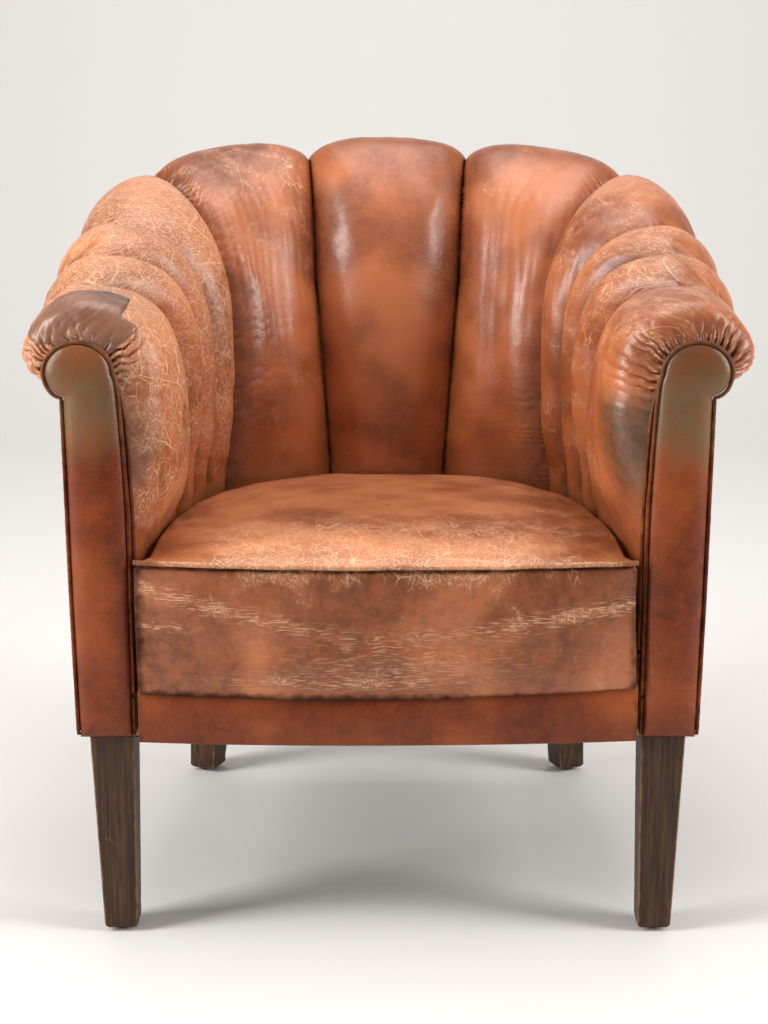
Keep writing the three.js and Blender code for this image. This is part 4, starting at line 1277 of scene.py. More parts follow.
def border_top(x):
    """The border's upper edge, which has crept up at the right."""
    return BORDER_TOP + 0.0008 * wander(x / 0.05 + 8, 81) + 0.006 * smoothstep(x, -0.05, 0.27)


def seat_rows(rim):
    """Rings of points from the boxing's lower edge, up to the piping and over the crown to its middle."""
    rings = []
    for height in BOXING_HEIGHTS:
        line = boxing_line(rim, height)
        bottom = border_top(rim[:, 0]) - 1.5 * MM
        z = bottom + (seat_edge(rim[:, 1]) - bottom) * height
        rings.append(np.column_stack([line, z]))
    centre = np.array([0, SEAT_CENTRE_Y])
    for step in np.linspace(0, 1, SEAT_RINGS)[1:] ** 1.15:
        plan = centre + (rim - centre) * (1 - step)
        rings.append(np.column_stack([plan, seat_edge(plan[:, 1]) + seat_crown(plan[:, 0], plan[:, 1])]))
    return np.array(rings)


def seat_edge(y):
    return SEAT_EDGE_Z - SEAT_FALL * np.maximum(0, y) / SEAT_DEPTH


def from_seat_front(x, y):
    return y - seat_front(x)


def seat_crown(x, y):
    """How far the seat's top stands over its edge: quick to rise at the front, slow at the sides."""
    from_front = np.maximum(0, from_seat_front(x, y))
    behind = np.maximum(0, y - SEAT_CENTRE_Y * 0.35) / (SEAT_DEPTH - SEAT_CENTRE_Y * 0.35)
    around = (np.abs(x / SEAT_FRONT_HALF_WIDTH) ** 2.6 + behind**2.6) ** (1 / 2.6)
    sides = 1 - np.clip(around, 0, 1) ** 2.6
    front = 1 - np.exp(-from_front / 0.045)
    lip = 2.6 * MM * np.exp(-((from_front - 0.012) / 0.012) ** 2)
    return (SEAT_CROWN + 0.001) * sides**0.8 * front + lip * sides**0.3


def seat_undulation(rings):
    """Hollows where people have sat, and slack leather that ripples in from the front edge."""
    x, y = rings[..., 0], rings[..., 1]
    top = np.arange(len(rings))[:, None] >= BOXING_ROWS
    from_front = np.maximum(0, from_seat_front(x, y))
    inside = smoothstep(from_front, 0.004, 0.03)
    soft = 1.3 * drift(x / 0.08, y / 0.09, 51) + 0.55 * drift(x / 0.03, y / 0.045, 52)
    bent = x + 0.010 * drift(x / 0.05, y / 0.05, 53)
    ripples = fold_ridges(bent / 0.017) * np.exp(-from_front / 0.05) * (1 - smoothstep(np.abs(x), 0.16, 0.24))
    around = np.hypot(x / 0.235, (y - 0.2) / 0.25)
    rings_near_side = np.sin(around * 55 + 2.0 * drift(x / 0.06, y / 0.06, 54))
    rings_near_side *= smoothstep(around, 0.72, 0.9) * 0.5
    lift = (soft + 0.8 * ripples + rings_near_side) * MM * inside
    return np.where(top, lift, 0)


def make_seat():
    rim = seat_rim()
    rings = seat_rows(rim)
    rings[..., 2] += seat_undulation(rings)
    centre = rings[-1].mean(0)
    skin = rings[:-1]
    rows, columns = skin.shape[:2]
    points = np.concatenate([skin.reshape(-1, 3), [centre]])
    faces = grid_quads(rows, columns, wrap=True)
    last = (rows - 1) * columns
    faces += [[last + step, last + (step + 1) % columns, rows * columns] for step in range(columns)]
    # The cover's lower edge turns in under the boxing, and its inside follows its outside.
    inner = skin[::3].copy()
    to_centre = np.array([0, SEAT_CENTRE_Y, 0]) - inner
    to_centre[..., 2] = 0
    to_centre /= np.linalg.norm(to_centre, axis=-1, keepdims=True)
    on_top = (np.arange(rows)[::3] >= BOXING_ROWS)[:, None]
    inner += np.where(on_top[..., None], 0, to_centre * 3.0 * MM)
    inner[..., 2] -= np.where(on_top, 3.0 * MM, 0)
    start = len(points)
    inner_centre = inner[-1].mean(0)
    points = np.concatenate([points, inner.reshape(-1, 3), [inner_centre]])
    faces += grid_quads(len(inner), columns, start, wrap=True, flip=True)
    last = start + (len(inner) - 1) * columns
    faces += [[last + (step + 1) % columns, last + step, len(points) - 1] for step in range(columns)]
    for step in range(columns):
        after = (step + 1) % columns
        faces.append([after, step, start + step, start + after])
    piece = new_object("seat_cover", in_frame(points), faces, SEAT_LEATHER)
    set_seat_numbers(piece, skin)
    settle_in(piece, ["seat_cover"])
    make_seat_stuffing(rings)


def make_seat_stuffing(rings):
    """The stitched fibre over the springs, a little inside the cover."""
    crown = rings[BOXING_ROWS - 1::3, ::4].copy()
    crown[..., :2] = [0, SEAT_CENTRE_Y] + (crown[..., :2] - [0, SEAT_CENTRE_Y]) * 0.972
    crown[..., 2] -= 4.5 * MM
    foot = crown[0].copy()
    foot[:, 2] = STUFFING_BOTTOM
    rows, columns = crown.shape[:2]
    points = np.concatenate([foot, crown.reshape(-1, 3)])
    faces = grid_quads(rows + 1, columns, wrap=True)
    faces.append(list(range(columns))[::-1])
    piece = new_object("seat_stuffing", in_frame(points), faces, FIBRE)
    merge_near(piece)
    settle_in(piece, ["seat_stuffing"])


def set_seat_numbers(piece, skin):
    x, y, z = skin[..., 0], skin[..., 1], skin[..., 2]
    top = np.arange(len(skin))[:, None] >= BOXING_ROWS
    from_front = np.maximum(0, from_seat_front(x, y))
    seat_middle = 1 - smoothstep(np.abs(x), 0.13, 0.25)
    wear_top = 0.95 * np.exp(-(from_front / 0.09) ** 1.5) * (0.25 + 0.75 * seat_middle)
    wear_top += 0.42 * smoothstep(from_front, 0.03, 0.12) * (1 - smoothstep(from_front, 0.15, 0.42))
    below_piping = SEAT_EDGE_Z - z
    wear_boxing = 0.30 + 0.55 * np.exp(-below_piping / 0.016) * (1 - smoothstep(np.abs(x), 0.13, 0.2))
    set_numbers(piece, "wear", np.where(top, wear_top, wear_boxing))
    broad = 0.22 + 0.35 * drift(x / 0.11 + 3, z / 0.09, 47)
    # The middle of the seat's top is painted lighter, a painted sheen; the boxing's tone varies at random.
    set_numbers(piece, "crown", np.where(top, 0.4 + 0.6 * seat_middle, broad))
    # The boxing is darkened at its ends against the arms and along its lower edge behind the border, part
    # dirt and part painted shade, and in a thin line under the piping, a painted shadow.
    ends = smoothstep(0.268 - np.abs(x), 0.0, 0.035)
    low = smoothstep(z, BORDER_TOP - 0.004, BORDER_TOP + 0.022)
    under_piping = 0.08 + smoothstep(below_piping, 0.004, 0.011)
    set_numbers(piece, "seam", np.where(top, 1, np.minimum(np.minimum(ends, low), under_piping)))
    band = 0.350 + np.where(x < 0, 0.36, 0.23) * np.abs(x) ** 1.5
    ends = smoothstep(np.abs(x - 0.01), 0.05, 0.15)
    scuff = 0.62 * np.exp(-((z - band) / 0.012) ** 2) * (0.5 + 0.5 * ends)
    scuff += 0.6 * np.exp(-((z - 0.3555) / 0.006) ** 2) * (1 - smoothstep(x, -0.24, -0.16))
    scuff += 0.42 * np.exp(-((z - 0.322) / 0.026) ** 2) * np.exp(-((x - 0.02) / 0.17) ** 2)
    scuff += 0.42 * np.exp(-((z - 0.298) / 0.010) ** 2) * np.exp(-((x + 0.06) / 0.16) ** 2)
    set_numbers(piece, "scuff", np.where(top, 0, np.clip(scuff, 0, 1)))
    set_hide_map(piece, x, np.where(top, y, z - 0.5))


def make_seat_piping():
    x = np.linspace(-0.2650, 0.2605, 160)
    y = seat_front(x) - 0.0030
    z = SEAT_EDGE_Z + 0.0016 + 0.0005 * wander(x / 0.03 + 20, 61)
    path = in_frame(np.column_stack([x, y, z]))
    inputs = {"Radius": 0.0029, "Sides": 12, "Unevenness": 0.0003, "Material": PIPING_LEATHER}
    piece = grown("seat_piping", [path], WELT, inputs)
    place = np.array([vertex.co for vertex in piece.data.vertices])
    worn = 1 - smoothstep(np.abs(place[:, 0]), 0.19, 0.27)
    set_numbers(piece, "wear", 0.35 + 0.45 * worn)
    set_numbers(piece, "crown", 0.1 + 0.8 * worn)
    set_numbers(piece, "seam", np.full(len(place), 1.0))
    set_hide_map(piece, place[:, 0], place[:, 2])
    settle_in(piece, ["seat_piping"])


def make_front_border():
    """The padded leather strip over the front rail, folded over at its top edge."""
    columns = 220
    x = np.linspace(-FRONT_CLEAR, FRONT_CLEAR, columns)
    bow = 1 - (x / FRONT_CLEAR) ** 2
    face_y = BORDER_FRONT_Y - SEAT_BOW * bow
    top = border_top(x) + 0.0005
    bottom = BORDER_BOTTOM + 0.0025 + 0.002 * bow - 0.0015 * smoothstep(x, 0.1, -0.27)
    rows = []
    back_y = face_y + 0.006
    fold = 3.0 * MM
    for angle in np.linspace(-90, 0, 6):
        a = math.radians(angle)
        rows.append((bottom + fold * (1 + math.sin(a)), face_y + fold * (1 - math.cos(a))))
    for share in np.linspace(0, 1, 22)[1:-1]:
        z = bottom + fold + (top - bottom - 2 * fold) * share
        swell = 1.8 * MM * math.sin(math.pi * share) ** 0.7
        dents = 0.8 * MM * drift(x / 0.06, np.full_like(x, share * 1.7), 82)
        rows.append((z, face_y - swell + dents * math.sin(math.pi * share)))
    for angle in np.linspace(0, 90, 6):
        a = math.radians(angle)
        rows.append((top - fold * (1 - math.sin(a)), face_y + fold * (1 - math.cos(a))))
    front = np.array([np.column_stack([x, y, z]) for z, y in rows])
    picks = np.linspace(0, columns - 1, 40).astype(int)
    back = front[:, picks].copy()
    back[..., 1] = np.maximum(back_y[picks][None, :], back[..., 1] + 0.5 * MM)
    points, faces = closed_skin(in_frame(front), in_frame(back))
    piece = new_object("front_border", points, faces, OUTSIDE_LEATHER)
    z = front[..., 2]
    fold_line = np.exp(-((z - top) / 0.004) ** 2) * (0.5 + 0.5 * drift(front[..., 0] / 0.02, z * 0, 83))
    set_numbers(piece, "wear", 0.3 + 0.6 * fold_line)
    set_numbers(piece, "crown", 0.45 + 0.45 * drift(front[..., 0] / 0.09 + 9, z / 0.06, 84))
    ends = FRONT_CLEAR - np.abs(front[..., 0])
    low = smoothstep(z, BORDER_BOTTOM - 0.004, BORDER_BOTTOM + 0.010)
    set_numbers(piece, "seam", np.minimum(0.25 + smoothstep(ends, 0, 0.02), 0.12 + low))
    set_hide_map(piece, front[..., 0], z)
    settle_in(piece, ["front_border"])


# ---------- arm fronts ----------
def arm_outline(grow, spacing=3 * MM):
    """The right arm front's outline seen from the front, from its outer lower corner round its head."""
    head_x = SCROLL["x"] + SCROLL["half_width"] + grow
    outer = [
        (FACING_OUTER["bottom"] + grow, FRAME_BOTTOM),
        (FACING_OUTER["seat"] + grow, FACING_Z["seat"]),
        (FACING_OUTER["elbow"] + grow, FACING_Z["elbow"]),
        (FACING_OUTER["notch"] + grow, FACING_Z["neck"] - grow),
    ]
    share = np.linspace(0, 1, 12)[1:, None]
    start = np.array(outer[-1])
    middle = np.array([head_x - 0.003, FACING_Z["neck"] + 0.003 - grow])
    end = np.array([head_x, SCROLL["z"]])
    curl = (1 - share) ** 2 * start + 2 * share * (1 - share) * middle + share**2 * end
    turn = np.linspace(0, math.pi, 40)[1:]
    head = np.column_stack([
        SCROLL["x"] + (SCROLL["half_width"] + grow) * np.cos(turn),
        SCROLL["z"] + (SCROLL["rise"] + grow) * np.sin(turn),
    ])
    inner = np.array([
        head[-1],
        (FACING_INNER["neck"] - grow, FACING_Z["neck"]),
        (FACING_INNER["elbow"] - grow, FACING_Z["elbow"]),
        (FACING_INNER["seat"] - grow, FACING_Z["seat"]),
        (FACING_INNER["bottom"] - grow, FRAME_BOTTOM),
    ])
    smooth_inner = cubic_rows(inner, np.linspace(0, 4, 60))
    loop = np.concatenate([outer, curl, head, smooth_inner[1:]])
    closed = np.concatenate([loop, loop[:1]])
    positions = even_positions(closed, spacing)[:-1]
    return np.column_stack([np.interp(positions, np.arange(len(closed)), closed[:, axis]) for axis in (0, 1)])


# The line along which a facing is fullest: x and z up the right arm front.
FACING_SPINE = np.array([
    (0.2995, 0.262),
    (0.3012, 0.379),
    (0.3028, 0.488),
    (0.3040, 0.555),
    (0.3070, 0.585),
    (0.3120, 0.606),
    (0.3170, 0.619),
])
FACING_EDGE = 4 * MM
FACING_FULL = 15 * MM
FACING_BACK_Y = 0.0


def nearest_on_line(points, line):
    fine = cubic_rows(line, np.linspace(0, len(line) - 1, 400))
    away = np.linalg.norm(points[:, None] - fine[None], axis=-1)
    return fine[away.argmin(1)]


def make_facing(word, side, grime_top):
    rim = arm_outline(-0.3 * MM)
    spine = nearest_on_line(rim, FACING_SPINE)
    rings = []
    for turn in np.linspace(0, math.pi / 2, 20):
        out = math.sin(turn) ** 0.8
        plan = spine + (rim - spine) * out
        depth = FACING_EDGE + (FACING_FULL - FACING_EDGE) * (1 - out**2.1) ** 0.62
        rings.append(np.column_stack([plan[:, 0], np.full(len(plan), -depth), plan[:, 1]]))
    skin = np.array(rings[::-1])
    x, z = skin[..., 0], skin[..., 2]
    centre = smoothstep(-skin[..., 1], FACING_EDGE, FACING_FULL)
    broad = 0.9 * MM * drift(x / 0.05 + 4 * side, z / 0.09, 91)
    small = 0.35 * MM * drift(x / 0.015, z / 0.03, 92 + side)
    skin[..., 1] -= centre * (broad + small)
    skin[..., 0] *= side
    rows, columns = skin.shape[:2]
    back = skin[0].copy()
    back[:, 1] = FACING_BACK_Y
    points = np.concatenate([skin.reshape(-1, 3), back])
    faces = grid_quads(rows, columns, wrap=True, flip=side > 0)
    start = rows * columns
    for step in range(columns):
        after = (step + 1) % columns
        wall = [step, after, start + after, start + step]
        faces.append(wall if side > 0 else wall[::-1])
    cap = list(range(start, start + columns))
    faces.append(cap[::-1] if side > 0 else cap)
    piece = new_object(f"facing_{word}", in_frame(points), faces, OUTSIDE_LEATHER)
    merge_near(piece)
    place = np.array([vertex.co for vertex in piece.data.vertices])
    place[:, 1] -= ARM_FRONT_Y
    set_facing_numbers(piece, place, grime_top)
    settle_in(piece, [f"facing_{word}"])


def merge_near(piece, distance=0.02 * MM):
    """Joins the points that lie on each other and turns all the faces outward."""
    work = bmesh.new()
    work.from_mesh(piece.data)
    bmesh.ops.remove_doubles(work, verts=work.verts, dist=distance)
    bmesh.ops.recalc_face_normals(work, faces=work.faces)
    work.to_mesh(piece.data)
    work.free()


def set_facing_numbers(piece, place, grime_top):
    x, z = np.abs(place[:, 0]), place[:, 2]
    full = smoothstep(-place[:, 1], FACING_EDGE, FACING_FULL)
    ragged = 0.010 * drift(x / 0.02, z / 0.03, 95) + 0.006 * drift(x / 0.006, z / 0.009, 96)
    grime = smoothstep(z + ragged, grime_top - 0.012, grime_top + 0.062)
    patchy = 0.9 + 0.1 * drift(x / 0.012, z / 0.02, 98)
    set_numbers(piece, "grime", grime * patchy * (1 - 0.55 * smoothstep(z, 0.605, 0.645)))
    low_corner = np.exp(-((z - FRAME_BOTTOM) / 0.012) ** 2)
    set_numbers(piece, "wear", 0.16 + 0.45 * low_corner + 0.3 * (1 - full) * smoothstep(z, 0.5, 0.6))
    # The facing's full middle is painted lighter and its rim darker: painted light and shade over the dome,
    # with dirt at the rim as well.
    set_numbers(piece, "crown", 0.32 * full)
    set_numbers(piece, "seam", 0.2 + 0.8 * smoothstep(full, 0.0, 0.5))
    set_hide_map(piece, place[:, 0], z)


def make_facing_piping(word, side):
    paths = []
    for grow, forward in ((1.7 * MM, 4.4 * MM), (6.0 * MM, -1.0 * MM)):
        outline = arm_outline(grow, 4 * MM)
        outline = outline[outline[:, 1] > FRAME_BOTTOM + 0.002]
        order = np.roll(outline, -np.argmax(np.linalg.norm(np.diff(outline, axis=0), axis=-1)) - 1, axis=0)
        if forward < 0:  # the second welt shows only beside the inner edge
            order = order[(order[:, 0] < 0.292) & (order[:, 1] < 0.632)]
            order[:, 0] += 4.5 * MM * smoothstep(order[:, 1], 0.565, 0.622)
        path = np.column_stack([side * order[:, 0], np.full(len(order), -forward), order[:, 1]])
        path[:, 1] += 0.3 * MM * wander(np.arange(len(path)) / 9 + 30, 97 + side)
        paths.append(in_frame(path))
    inputs = {"Radius": PIPING_RADIUS, "Sides": 10, "Unevenness": 0.00025, "Material": OUTSIDE_LEATHER}
    piece = grown(f"facing_piping_{word}", paths, WELT, inputs)
    place = np.array([vertex.co for vertex in piece.data.vertices])
    high = smoothstep(place[:, 2], 0.5, 0.6)
    set_numbers(piece, "wear", 0.25 + 0.5 * high)
    set_numbers(piece, "crown", np.full(len(place), 0.25))
    # The welts are darkened, part dirt and part painted shade.
    set_numbers(piece, "seam", np.full(len(place), 0.24))
    set_numbers(piece, "grime", 0.35 * high)
    set_hide_map(piece, place[:, 0] + place[:, 1], place[:, 2])
    settle_in(piece, [f"facing_piping_{word}"])


# ---------- outside covers ----------
def make_outside(name, stations, columns, seed):
    """A leather panel stretched over the frame's outside, a little hollow between the rails."""
    levels = np.linspace(0, OUTSIDE_END, 90)
    share = np.linspace(stations[0], stations[1], columns)
    grid_stations = np.broadcast_to(share, (len(levels), columns))
    outer = wall_points(OUTSIDE_ROWS, levels, grid_stations)
    inner = wall_points(OUTSIDE_ROWS, levels, grid_stations, -2.5 * MM)
    outward = -grid_normals(outer)
    height = np.linspace(0, 1, len(levels))[:, None]
    across = walked(outer, 1)
    width = across[:, -1:]
    # The panel is cut to the size of the frame's plain outside, before it is drawn hollow.
    middle = np.sin(np.pi * np.clip(across / width, 0, 1)) ** 0.6 * np.sin(np.pi * height) ** 0.6
    hollow = -1.6 * MM * middle + 0.9 * MM * middle * drift(across / 0.09, height / 0.2, seed)
    edge = 0.9 * MM * np.exp(-(np.minimum(across, width - across) / 0.004) ** 2)
    outer += outward * (hollow - edge)[..., None]
    picks = np.linspace(0, columns - 1, max(8, columns // 6)).astype(int)
    # Seen from outside, the columns run the other way.
    points, faces = closed_skin(in_frame(outer[:, ::-1]), in_frame(inner[:, picks[::-1]]))
    piece = new_object(name, points, faces, OUTSIDE_LEATHER)
    across = across[:, ::-1]
    away = np.minimum(across, across.max(1, keepdims=True) - across)
    along = height * 0.42 + 0 * across
    set_numbers(piece, "seam", np.minimum(smoothstep(away, -0.004, 0.02), smoothstep(along, -0.02, 0.02)))
    set_numbers(piece, "wear", 0.18 + 0.5 * np.exp(-along / 0.01))
    set_numbers(piece, "crown", 0.2 + 0.3 * drift(across / 0.15, along / 0.15, seed + 1))
    set_hide_map(piece, across + seed, along)
    settle_in(piece, [name])


def outside_line(stations, level, outward, lift):
    grid = wall_points(OUTSIDE_ROWS, np.array([level]), np.array([stations]), outward)[0]
    grid[:, 2] += lift
    return in_frame(grid)


def make_covers():
    corner = OUTSIDE_BACK_STATION
    make_outside("outside_back", (-corner, corner), 300, 11)
    make_outside("outside_arm_right", (corner + 0.0007, 0.998), 190, 12)
    make_outside("outside_arm_left", (-0.998, -corner - 0.0007), 190, 13)
    seams = []
    for side in (-1, 1):
        levels = np.linspace(0.03, OUTSIDE_END - 0.02, 120)
        stations = np.full((len(levels), 1), side * (corner + 0.00035))
        seams.append(in_frame(wall_points(OUTSIDE_ROWS, levels, stations, 0.0002)[:, 0]))
    inputs = {"Spacing": 0.0065, "Seed": 4, "Thread radius": 0.0006, "Material": OUTSIDE_LEATHER}
    piece = grown("outside_seam_stitches", seams, STITCHES, inputs)
    settle_in(piece)


# ---------- underside ----------
def make_dust_cover():
    """Black cambric tacked under the frame, sagging a little between the rails."""
    low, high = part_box("dust_cover")
    thickness = 0.7 * MM
    edge = outside_line(np.linspace(-0.985, 0.985, 160), 0, -0.011, 0)[:, :2]
    centre = np.array([0, (low.y + high.y) / 2])
    rings = []
    for share in np.linspace(0, 1, 40)[1:]:
        plan = centre + (edge - centre) * share
        sag = 5 * MM * (1 - share**2.5) * (1 + 0.3 * drift(plan[:, 0] / 0.1, plan[:, 1] / 0.1, 15))
        wave = 0.5 * MM * share**9 * np.sin(np.arange(len(edge)) * 0.9)
        rings.append(np.column_stack([plan, low.z + 0.2 * MM - sag - wave]))
    skin = np.array(rings)
    rows, columns = skin.shape[:2]
    upper = skin.copy()
    upper[..., 2] += thickness
    centre_low = np.append(centre, skin[0, :, 2].mean())
    centre_high = centre_low + np.array([0, 0, thickness])
    count = rows * columns
    points = np.concatenate([skin.reshape(-1, 3), upper.reshape(-1, 3), [centre_low, centre_high]])
    faces = grid_quads(rows, columns, wrap=True, flip=True) + grid_quads(rows, columns, count, wrap=True)
    for step in range(columns):
        after = (step + 1) % columns
        faces.append([step, after, 2 * count])
        faces.append([count + after, count + step, 2 * count + 1])
        rim = (rows - 1) * columns
        faces.append([rim + after, rim + step, count + rim + step, count + rim + after])
    piece = new_object("dust_cover", points, faces, CAMBRIC)
    merge_near(piece, 0.001 * MM)
    settle_in(piece, ["dust_cover"])
    # Tacks along the outline that is tacked to the frame, set level just under it, and a row along the front.
    tack_line = outside_line(np.linspace(-0.96, 0.96, 160), 0, -0.018, 0)
    tack_line[:, 2] = low.z - 1.0 * MM
    front_x = np.linspace(-0.25, 0.25, 40)
    front_line = np.column_stack([
        front_x,
        np.full_like(front_x, ARM_FRONT_Y + 0.012),
        np.full_like(front_x, low.z - 1.0 * MM),
    ])
    inputs = {"Spacing": 0.026, "Seed": 7, "Head radius": 0.0034, "Material": TACK_STEEL}
    tacks = grown("dust_cover_tacks", [tack_line, front_line], TACKS, inputs)
    settle_in(tacks)


# ---------- legs ----------
def leg_section(half_wide, half_deep, bevel):
    """The outline of a square leg with rounded corners, from the middle of one side."""
    corners = []
    for number, (sx, sy) in enumerate(((1, 1), (-1, 1), (-1, -1), (1, -1))):
        start = number * math.pi / 2
        for turn in np.linspace(0, math.pi / 2, 7):
            angle = start + turn
            x = sx * (half_wide - bevel) + bevel * math.cos(angle)
            y = sy * (half_deep - bevel) + bevel * math.sin(angle)
            corners.append((x, y))
    loop = np.array(corners + corners[:1])
    positions = np.linspace(0, len(loop) - 1, 113)[:-1]
    return np.column_stack([np.interp(positions, np.arange(len(loop)), loop[:, axis]) for axis in (0, 1)])


# Each leg's top and foot, as x, y, width and depth, and how many degrees it is turned.
LEGS = {
    "leg_front_left": ((-0.2945, 0.027, 0.048, 0.052), (-0.291, 0.024, 0.036, 0.038), 0),
    "leg_front_right": ((0.2945, 0.027, 0.048, 0.052), (0.291, 0.024, 0.036, 0.038), 0),
    "leg_back_left": ((-0.222, 0.486, 0.044, 0.040), (-0.235, 0.520, 0.035, 0.034), -25),
    "leg_back_right": ((0.222, 0.486, 0.044, 0.040), (0.235, 0.520, 0.035, 0.034), 25),
}


def make_leg(name, number):
    top, foot, degrees = LEGS[name]
    low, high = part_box(name)
    turn = math.radians(degrees)
    rotate = np.array([[math.cos(turn), math.sin(turn)], [-math.sin(turn), math.cos(turn)]])
    rows = []
    edges = []
    heights = np.concatenate([[0, 0.0008, 0.002, 0.004], np.linspace(0.008, 1, 90)])
    for share in heights:
        wide, deep = (foot[axis] + (top[axis] - foot[axis]) * share for axis in (2, 3))
        chamfer = 3.0 * MM * max(0, 1 - share * (high.z - low.z) / 0.003)
        section = leg_section(wide / 2 - chamfer, deep / 2 - chamfer, 2.2 * MM)
        both = np.maximum(wide / 2 - np.abs(section[:, 0]), deep / 2 - np.abs(section[:, 1]))
        edge = 1 - smoothstep(both, 0.0005, 0.0050)
        nick = drift(section[:, 0] / 0.008 + 9 * number, np.full(len(section), share * 26.0), 21 + number)
        bite = 0.9 * MM * smoothstep(nick, 0.45, 0.95) * edge
        inward = -section / (np.linalg.norm(section, axis=-1, keepdims=True) + 1e-9)
        section = section + inward * bite[:, None]
        place = section @ rotate
        x = foot[0] + (top[0] - foot[0]) * share + place[:, 0]
        y = foot[1] + (top[1] - foot[1]) * share + place[:, 1]
        z = np.full(len(section), low.z + (high.z - low.z) * share)
        rows.append(np.column_stack([x, y, z]))
        edges.append(np.maximum(edge, (1 - smoothstep(share, 0, 0.035)) * 0.85))
    skin = np.array(rows)
    count, columns = skin.shape[:2]
    faces = grid_quads(count, columns, wrap=True)
    faces.append(list(range(columns))[::-1])
    faces.append(list(range((count - 1) * columns, count * columns)))
    piece = new_object(name, in_frame(skin), faces, DARK_OAK)
    set_numbers(piece, "edge", np.array(edges))
    piece.data.shade_smooth()
    settle_in(piece, [name])


GLIDE_SIDES = 40


def make_glide(name):
    """A domed steel glide, with a small flat where it stands."""
    low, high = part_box(name)
    centre = (low + high) / 2
    radius = (high.x - low.x) / 2
    height = high.z - low.z
    profile = [(0.6, 0.0), (0.72, 0.02)]
    for turn in np.linspace(0.2, math.pi / 2, 8):
        profile.append((0.72 + 0.28 * math.sin(turn), 0.02 + 0.83 * (1 - math.cos(turn))))
    profile.append((1.0, 1.0))
    turns = np.linspace(0, math.tau, GLIDE_SIDES + 1)[:-1]
    rings = []
    for out, up in profile:
        rings.append(np.column_stack([
            centre.x + radius * out * np.cos(turns),
            centre.y + radius * out * np.sin(turns),
            np.full(GLIDE_SIDES, low.z + height * up),
        ]))
    skin = np.array(rings)
    faces = grid_quads(len(skin), GLIDE_SIDES, wrap=True)
    faces.append(list(range(GLIDE_SIDES))[::-1])
    faces.append(list(range((len(skin) - 1) * GLIDE_SIDES, len(skin) * GLIDE_SIDES)))
    piece = new_object(name + "_dome", skin, faces, GLIDE_STEEL)
    settle_in(piece, [name])


# ---------- inside ----------
def make_springs():
    names = [f"seat_spring_{number}" for number in range(1, 7)]
    boxes = [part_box(name) for name in names]
    feet = [((low.x + high.x) / 2, (low.y + high.y) / 2, low.z + 0.002) for low, high in boxes]
    heights = [high.z - low.z - 0.004 for low, high in boxes]
    inputs = {
        "Wire radius": 0.002,
        "Turns": 4.0,
        "End radius": 0.050,
        "Waist radius": 0.034,
        "Material": SPRING_STEEL,
    }
    piece = grown("seat_springs", [feet], COILS, inputs, {"height": heights})
    settle_in(piece, names)


def finish_hidden_nodes():
    """Gives the CAD nodes that stay their own materials."""
    finishes = {"beech": BEECH, "jute": JUTE, "fibre": FIBRE}
    slots = {row["node"]: row["material_slot"] for row in frame["record"]["subparts"]}
    for name, piece in frame["nodes"].items():
        material = finishes.get(slots[name])
        if material and not piece.hide_render:
            piece.data.materials.clear()
            piece.data.materials.append(material)


# ---------- stage ----------
CAMERA_HEIGHT = 1.044
CAMERA_AWAY = 2.300  # in front of the arm fronts
CAMERA_PITCH = 13.9  # degrees below level
CAMERA_LENS = 79.95


def make_camera():
    data = bpy.data.cameras.new("camera")
    data.lens = CAMERA_LENS
    camera = bpy.data.objects.new("camera", data)
    camera.location = (-0.004, ARM_FRONT_Y - CAMERA_AWAY, CAMERA_HEIGHT)
    camera.rotation_euler = (math.radians(90 - CAMERA_PITCH), 0, 0)
    bpy.context.scene.collection.objects.link(camera)
    bpy.context.scene.camera = camera


def make_softbox(name, place, size, power, aim=(0, 0, 0.45)):
    data = bpy.data.lights.new(name, "AREA")
    data.shape = "RECTANGLE"
    data.size, data.size_y = size
    data.energy = power
    light = bpy.data.objects.new(name, data)
    light.location = place
    light.rotation_euler = (Vector(aim) - Vector(place)).to_track_quat("-Z", "Y").to_euler()
    bpy.context.scene.collection.objects.link(light)


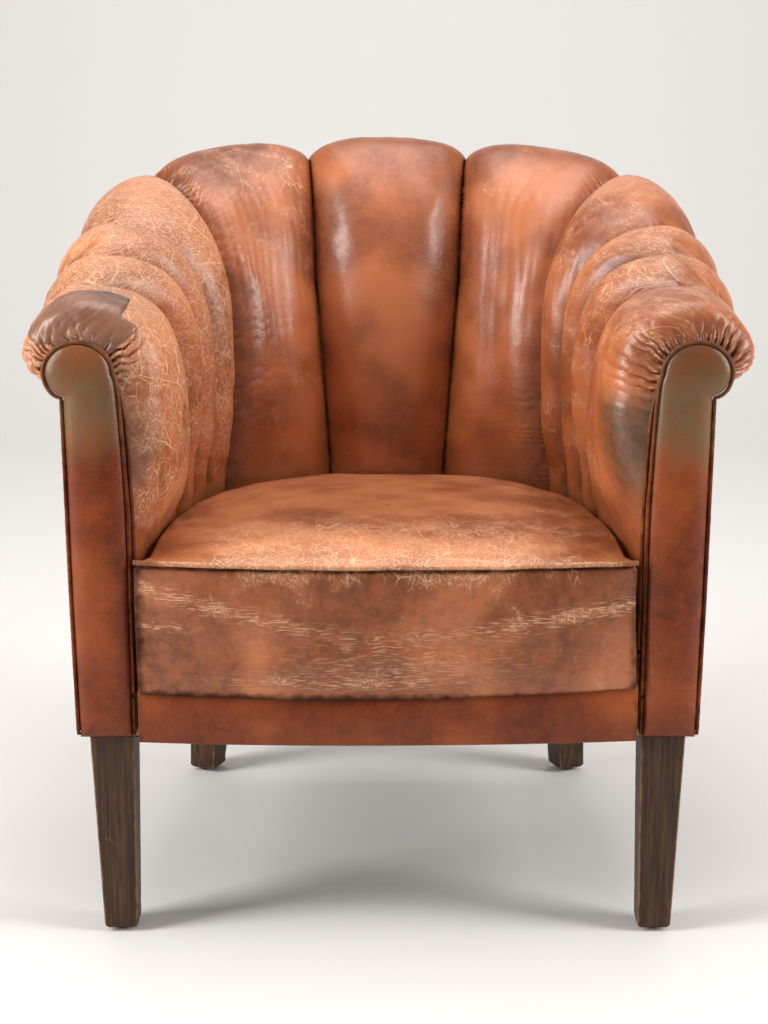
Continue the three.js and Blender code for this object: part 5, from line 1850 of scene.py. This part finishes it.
def make_stage():
    material, shader, surface = new_material("pale_floor", Roughness=0.8, Specular_IOR_Level=0.1)
    place = shader.node("ShaderNodeSeparateXYZ", {"Vector": shader.object_place()}).outputs
    # The floor is painted paler near the chair and darker in front of the camera and far to the sides: a
    # painted pool of light.
    nearer = shader.between(place["Y"], -2.1, -1.25, 0.0, 1.0)
    between_sides = shader.between(shader.math("ABSOLUTE", place["X"]), 1.5, 2.8, 1.0, 0.0)
    pale = shader.times(nearer, between_sides)
    colour = shader.blend(pale, linear(186, 183, 180), linear(216, 213, 210))
    shader.tree.links.new(colour, surface.inputs["Base Color"])
    bend = np.linspace(0.1, math.pi / 2, 14)
    depth = np.concatenate([np.linspace(-6, 2.2, 12), 2.2 + 1.6 * np.sin(bend), [3.8]])
    height = np.concatenate([np.zeros(12), 1.6 * (1 - np.cos(bend)), [6.0]])
    x = np.linspace(-7, 7, 9)
    points = np.array([np.column_stack([x, np.full(9, d), np.full(9, h)]) for d, h in zip(depth, height)])
    floor = new_object("floor", points, grid_quads(len(depth), 9), material)
    world = bpy.data.worlds.new("studio")
    world.use_nodes = True
    world.node_tree.nodes["Background"].inputs["Color"].default_value = (1.0, 0.985, 0.97, 1)
    world.node_tree.nodes["Background"].inputs["Strength"].default_value = 0.27
    bpy.context.scene.world = world
    make_softbox("left_softbox", (-2.3, -1.1, 1.45), (0.9, 2.3), 96)
    make_softbox("right_softbox", (2.4, -0.9, 1.45), (0.9, 2.3), 76)
    make_softbox("top_softbox", (0.0, 0.1, 3.0), (2.2, 1.8), 48)
    make_softbox("backdrop_softbox", (0.0, 1.6, 3.4), (3.0, 0.8), 42, aim=(0, 3.8, 1.3))
    scene = bpy.context.scene
    scene.view_settings.view_transform = "Standard"
    scene.view_settings.look = "None"


# ---------- the chair ----------
make_camera()
pads = make_pads(LEATHER)
make_patch(pads)
make_seat()
make_seat_piping()
make_front_border()
for word, side, grime_top in (("left", -1, 0.524), ("right", 1, 0.512)):
    make_facing(word, side, grime_top)
    make_facing_piping(word, side)
make_covers()
make_dust_cover()
for number, name in enumerate(LEGS):
    make_leg(name, number)
    make_glide(name.replace("leg", "glide"))
make_springs()
finish_hidden_nodes()
make_stage()
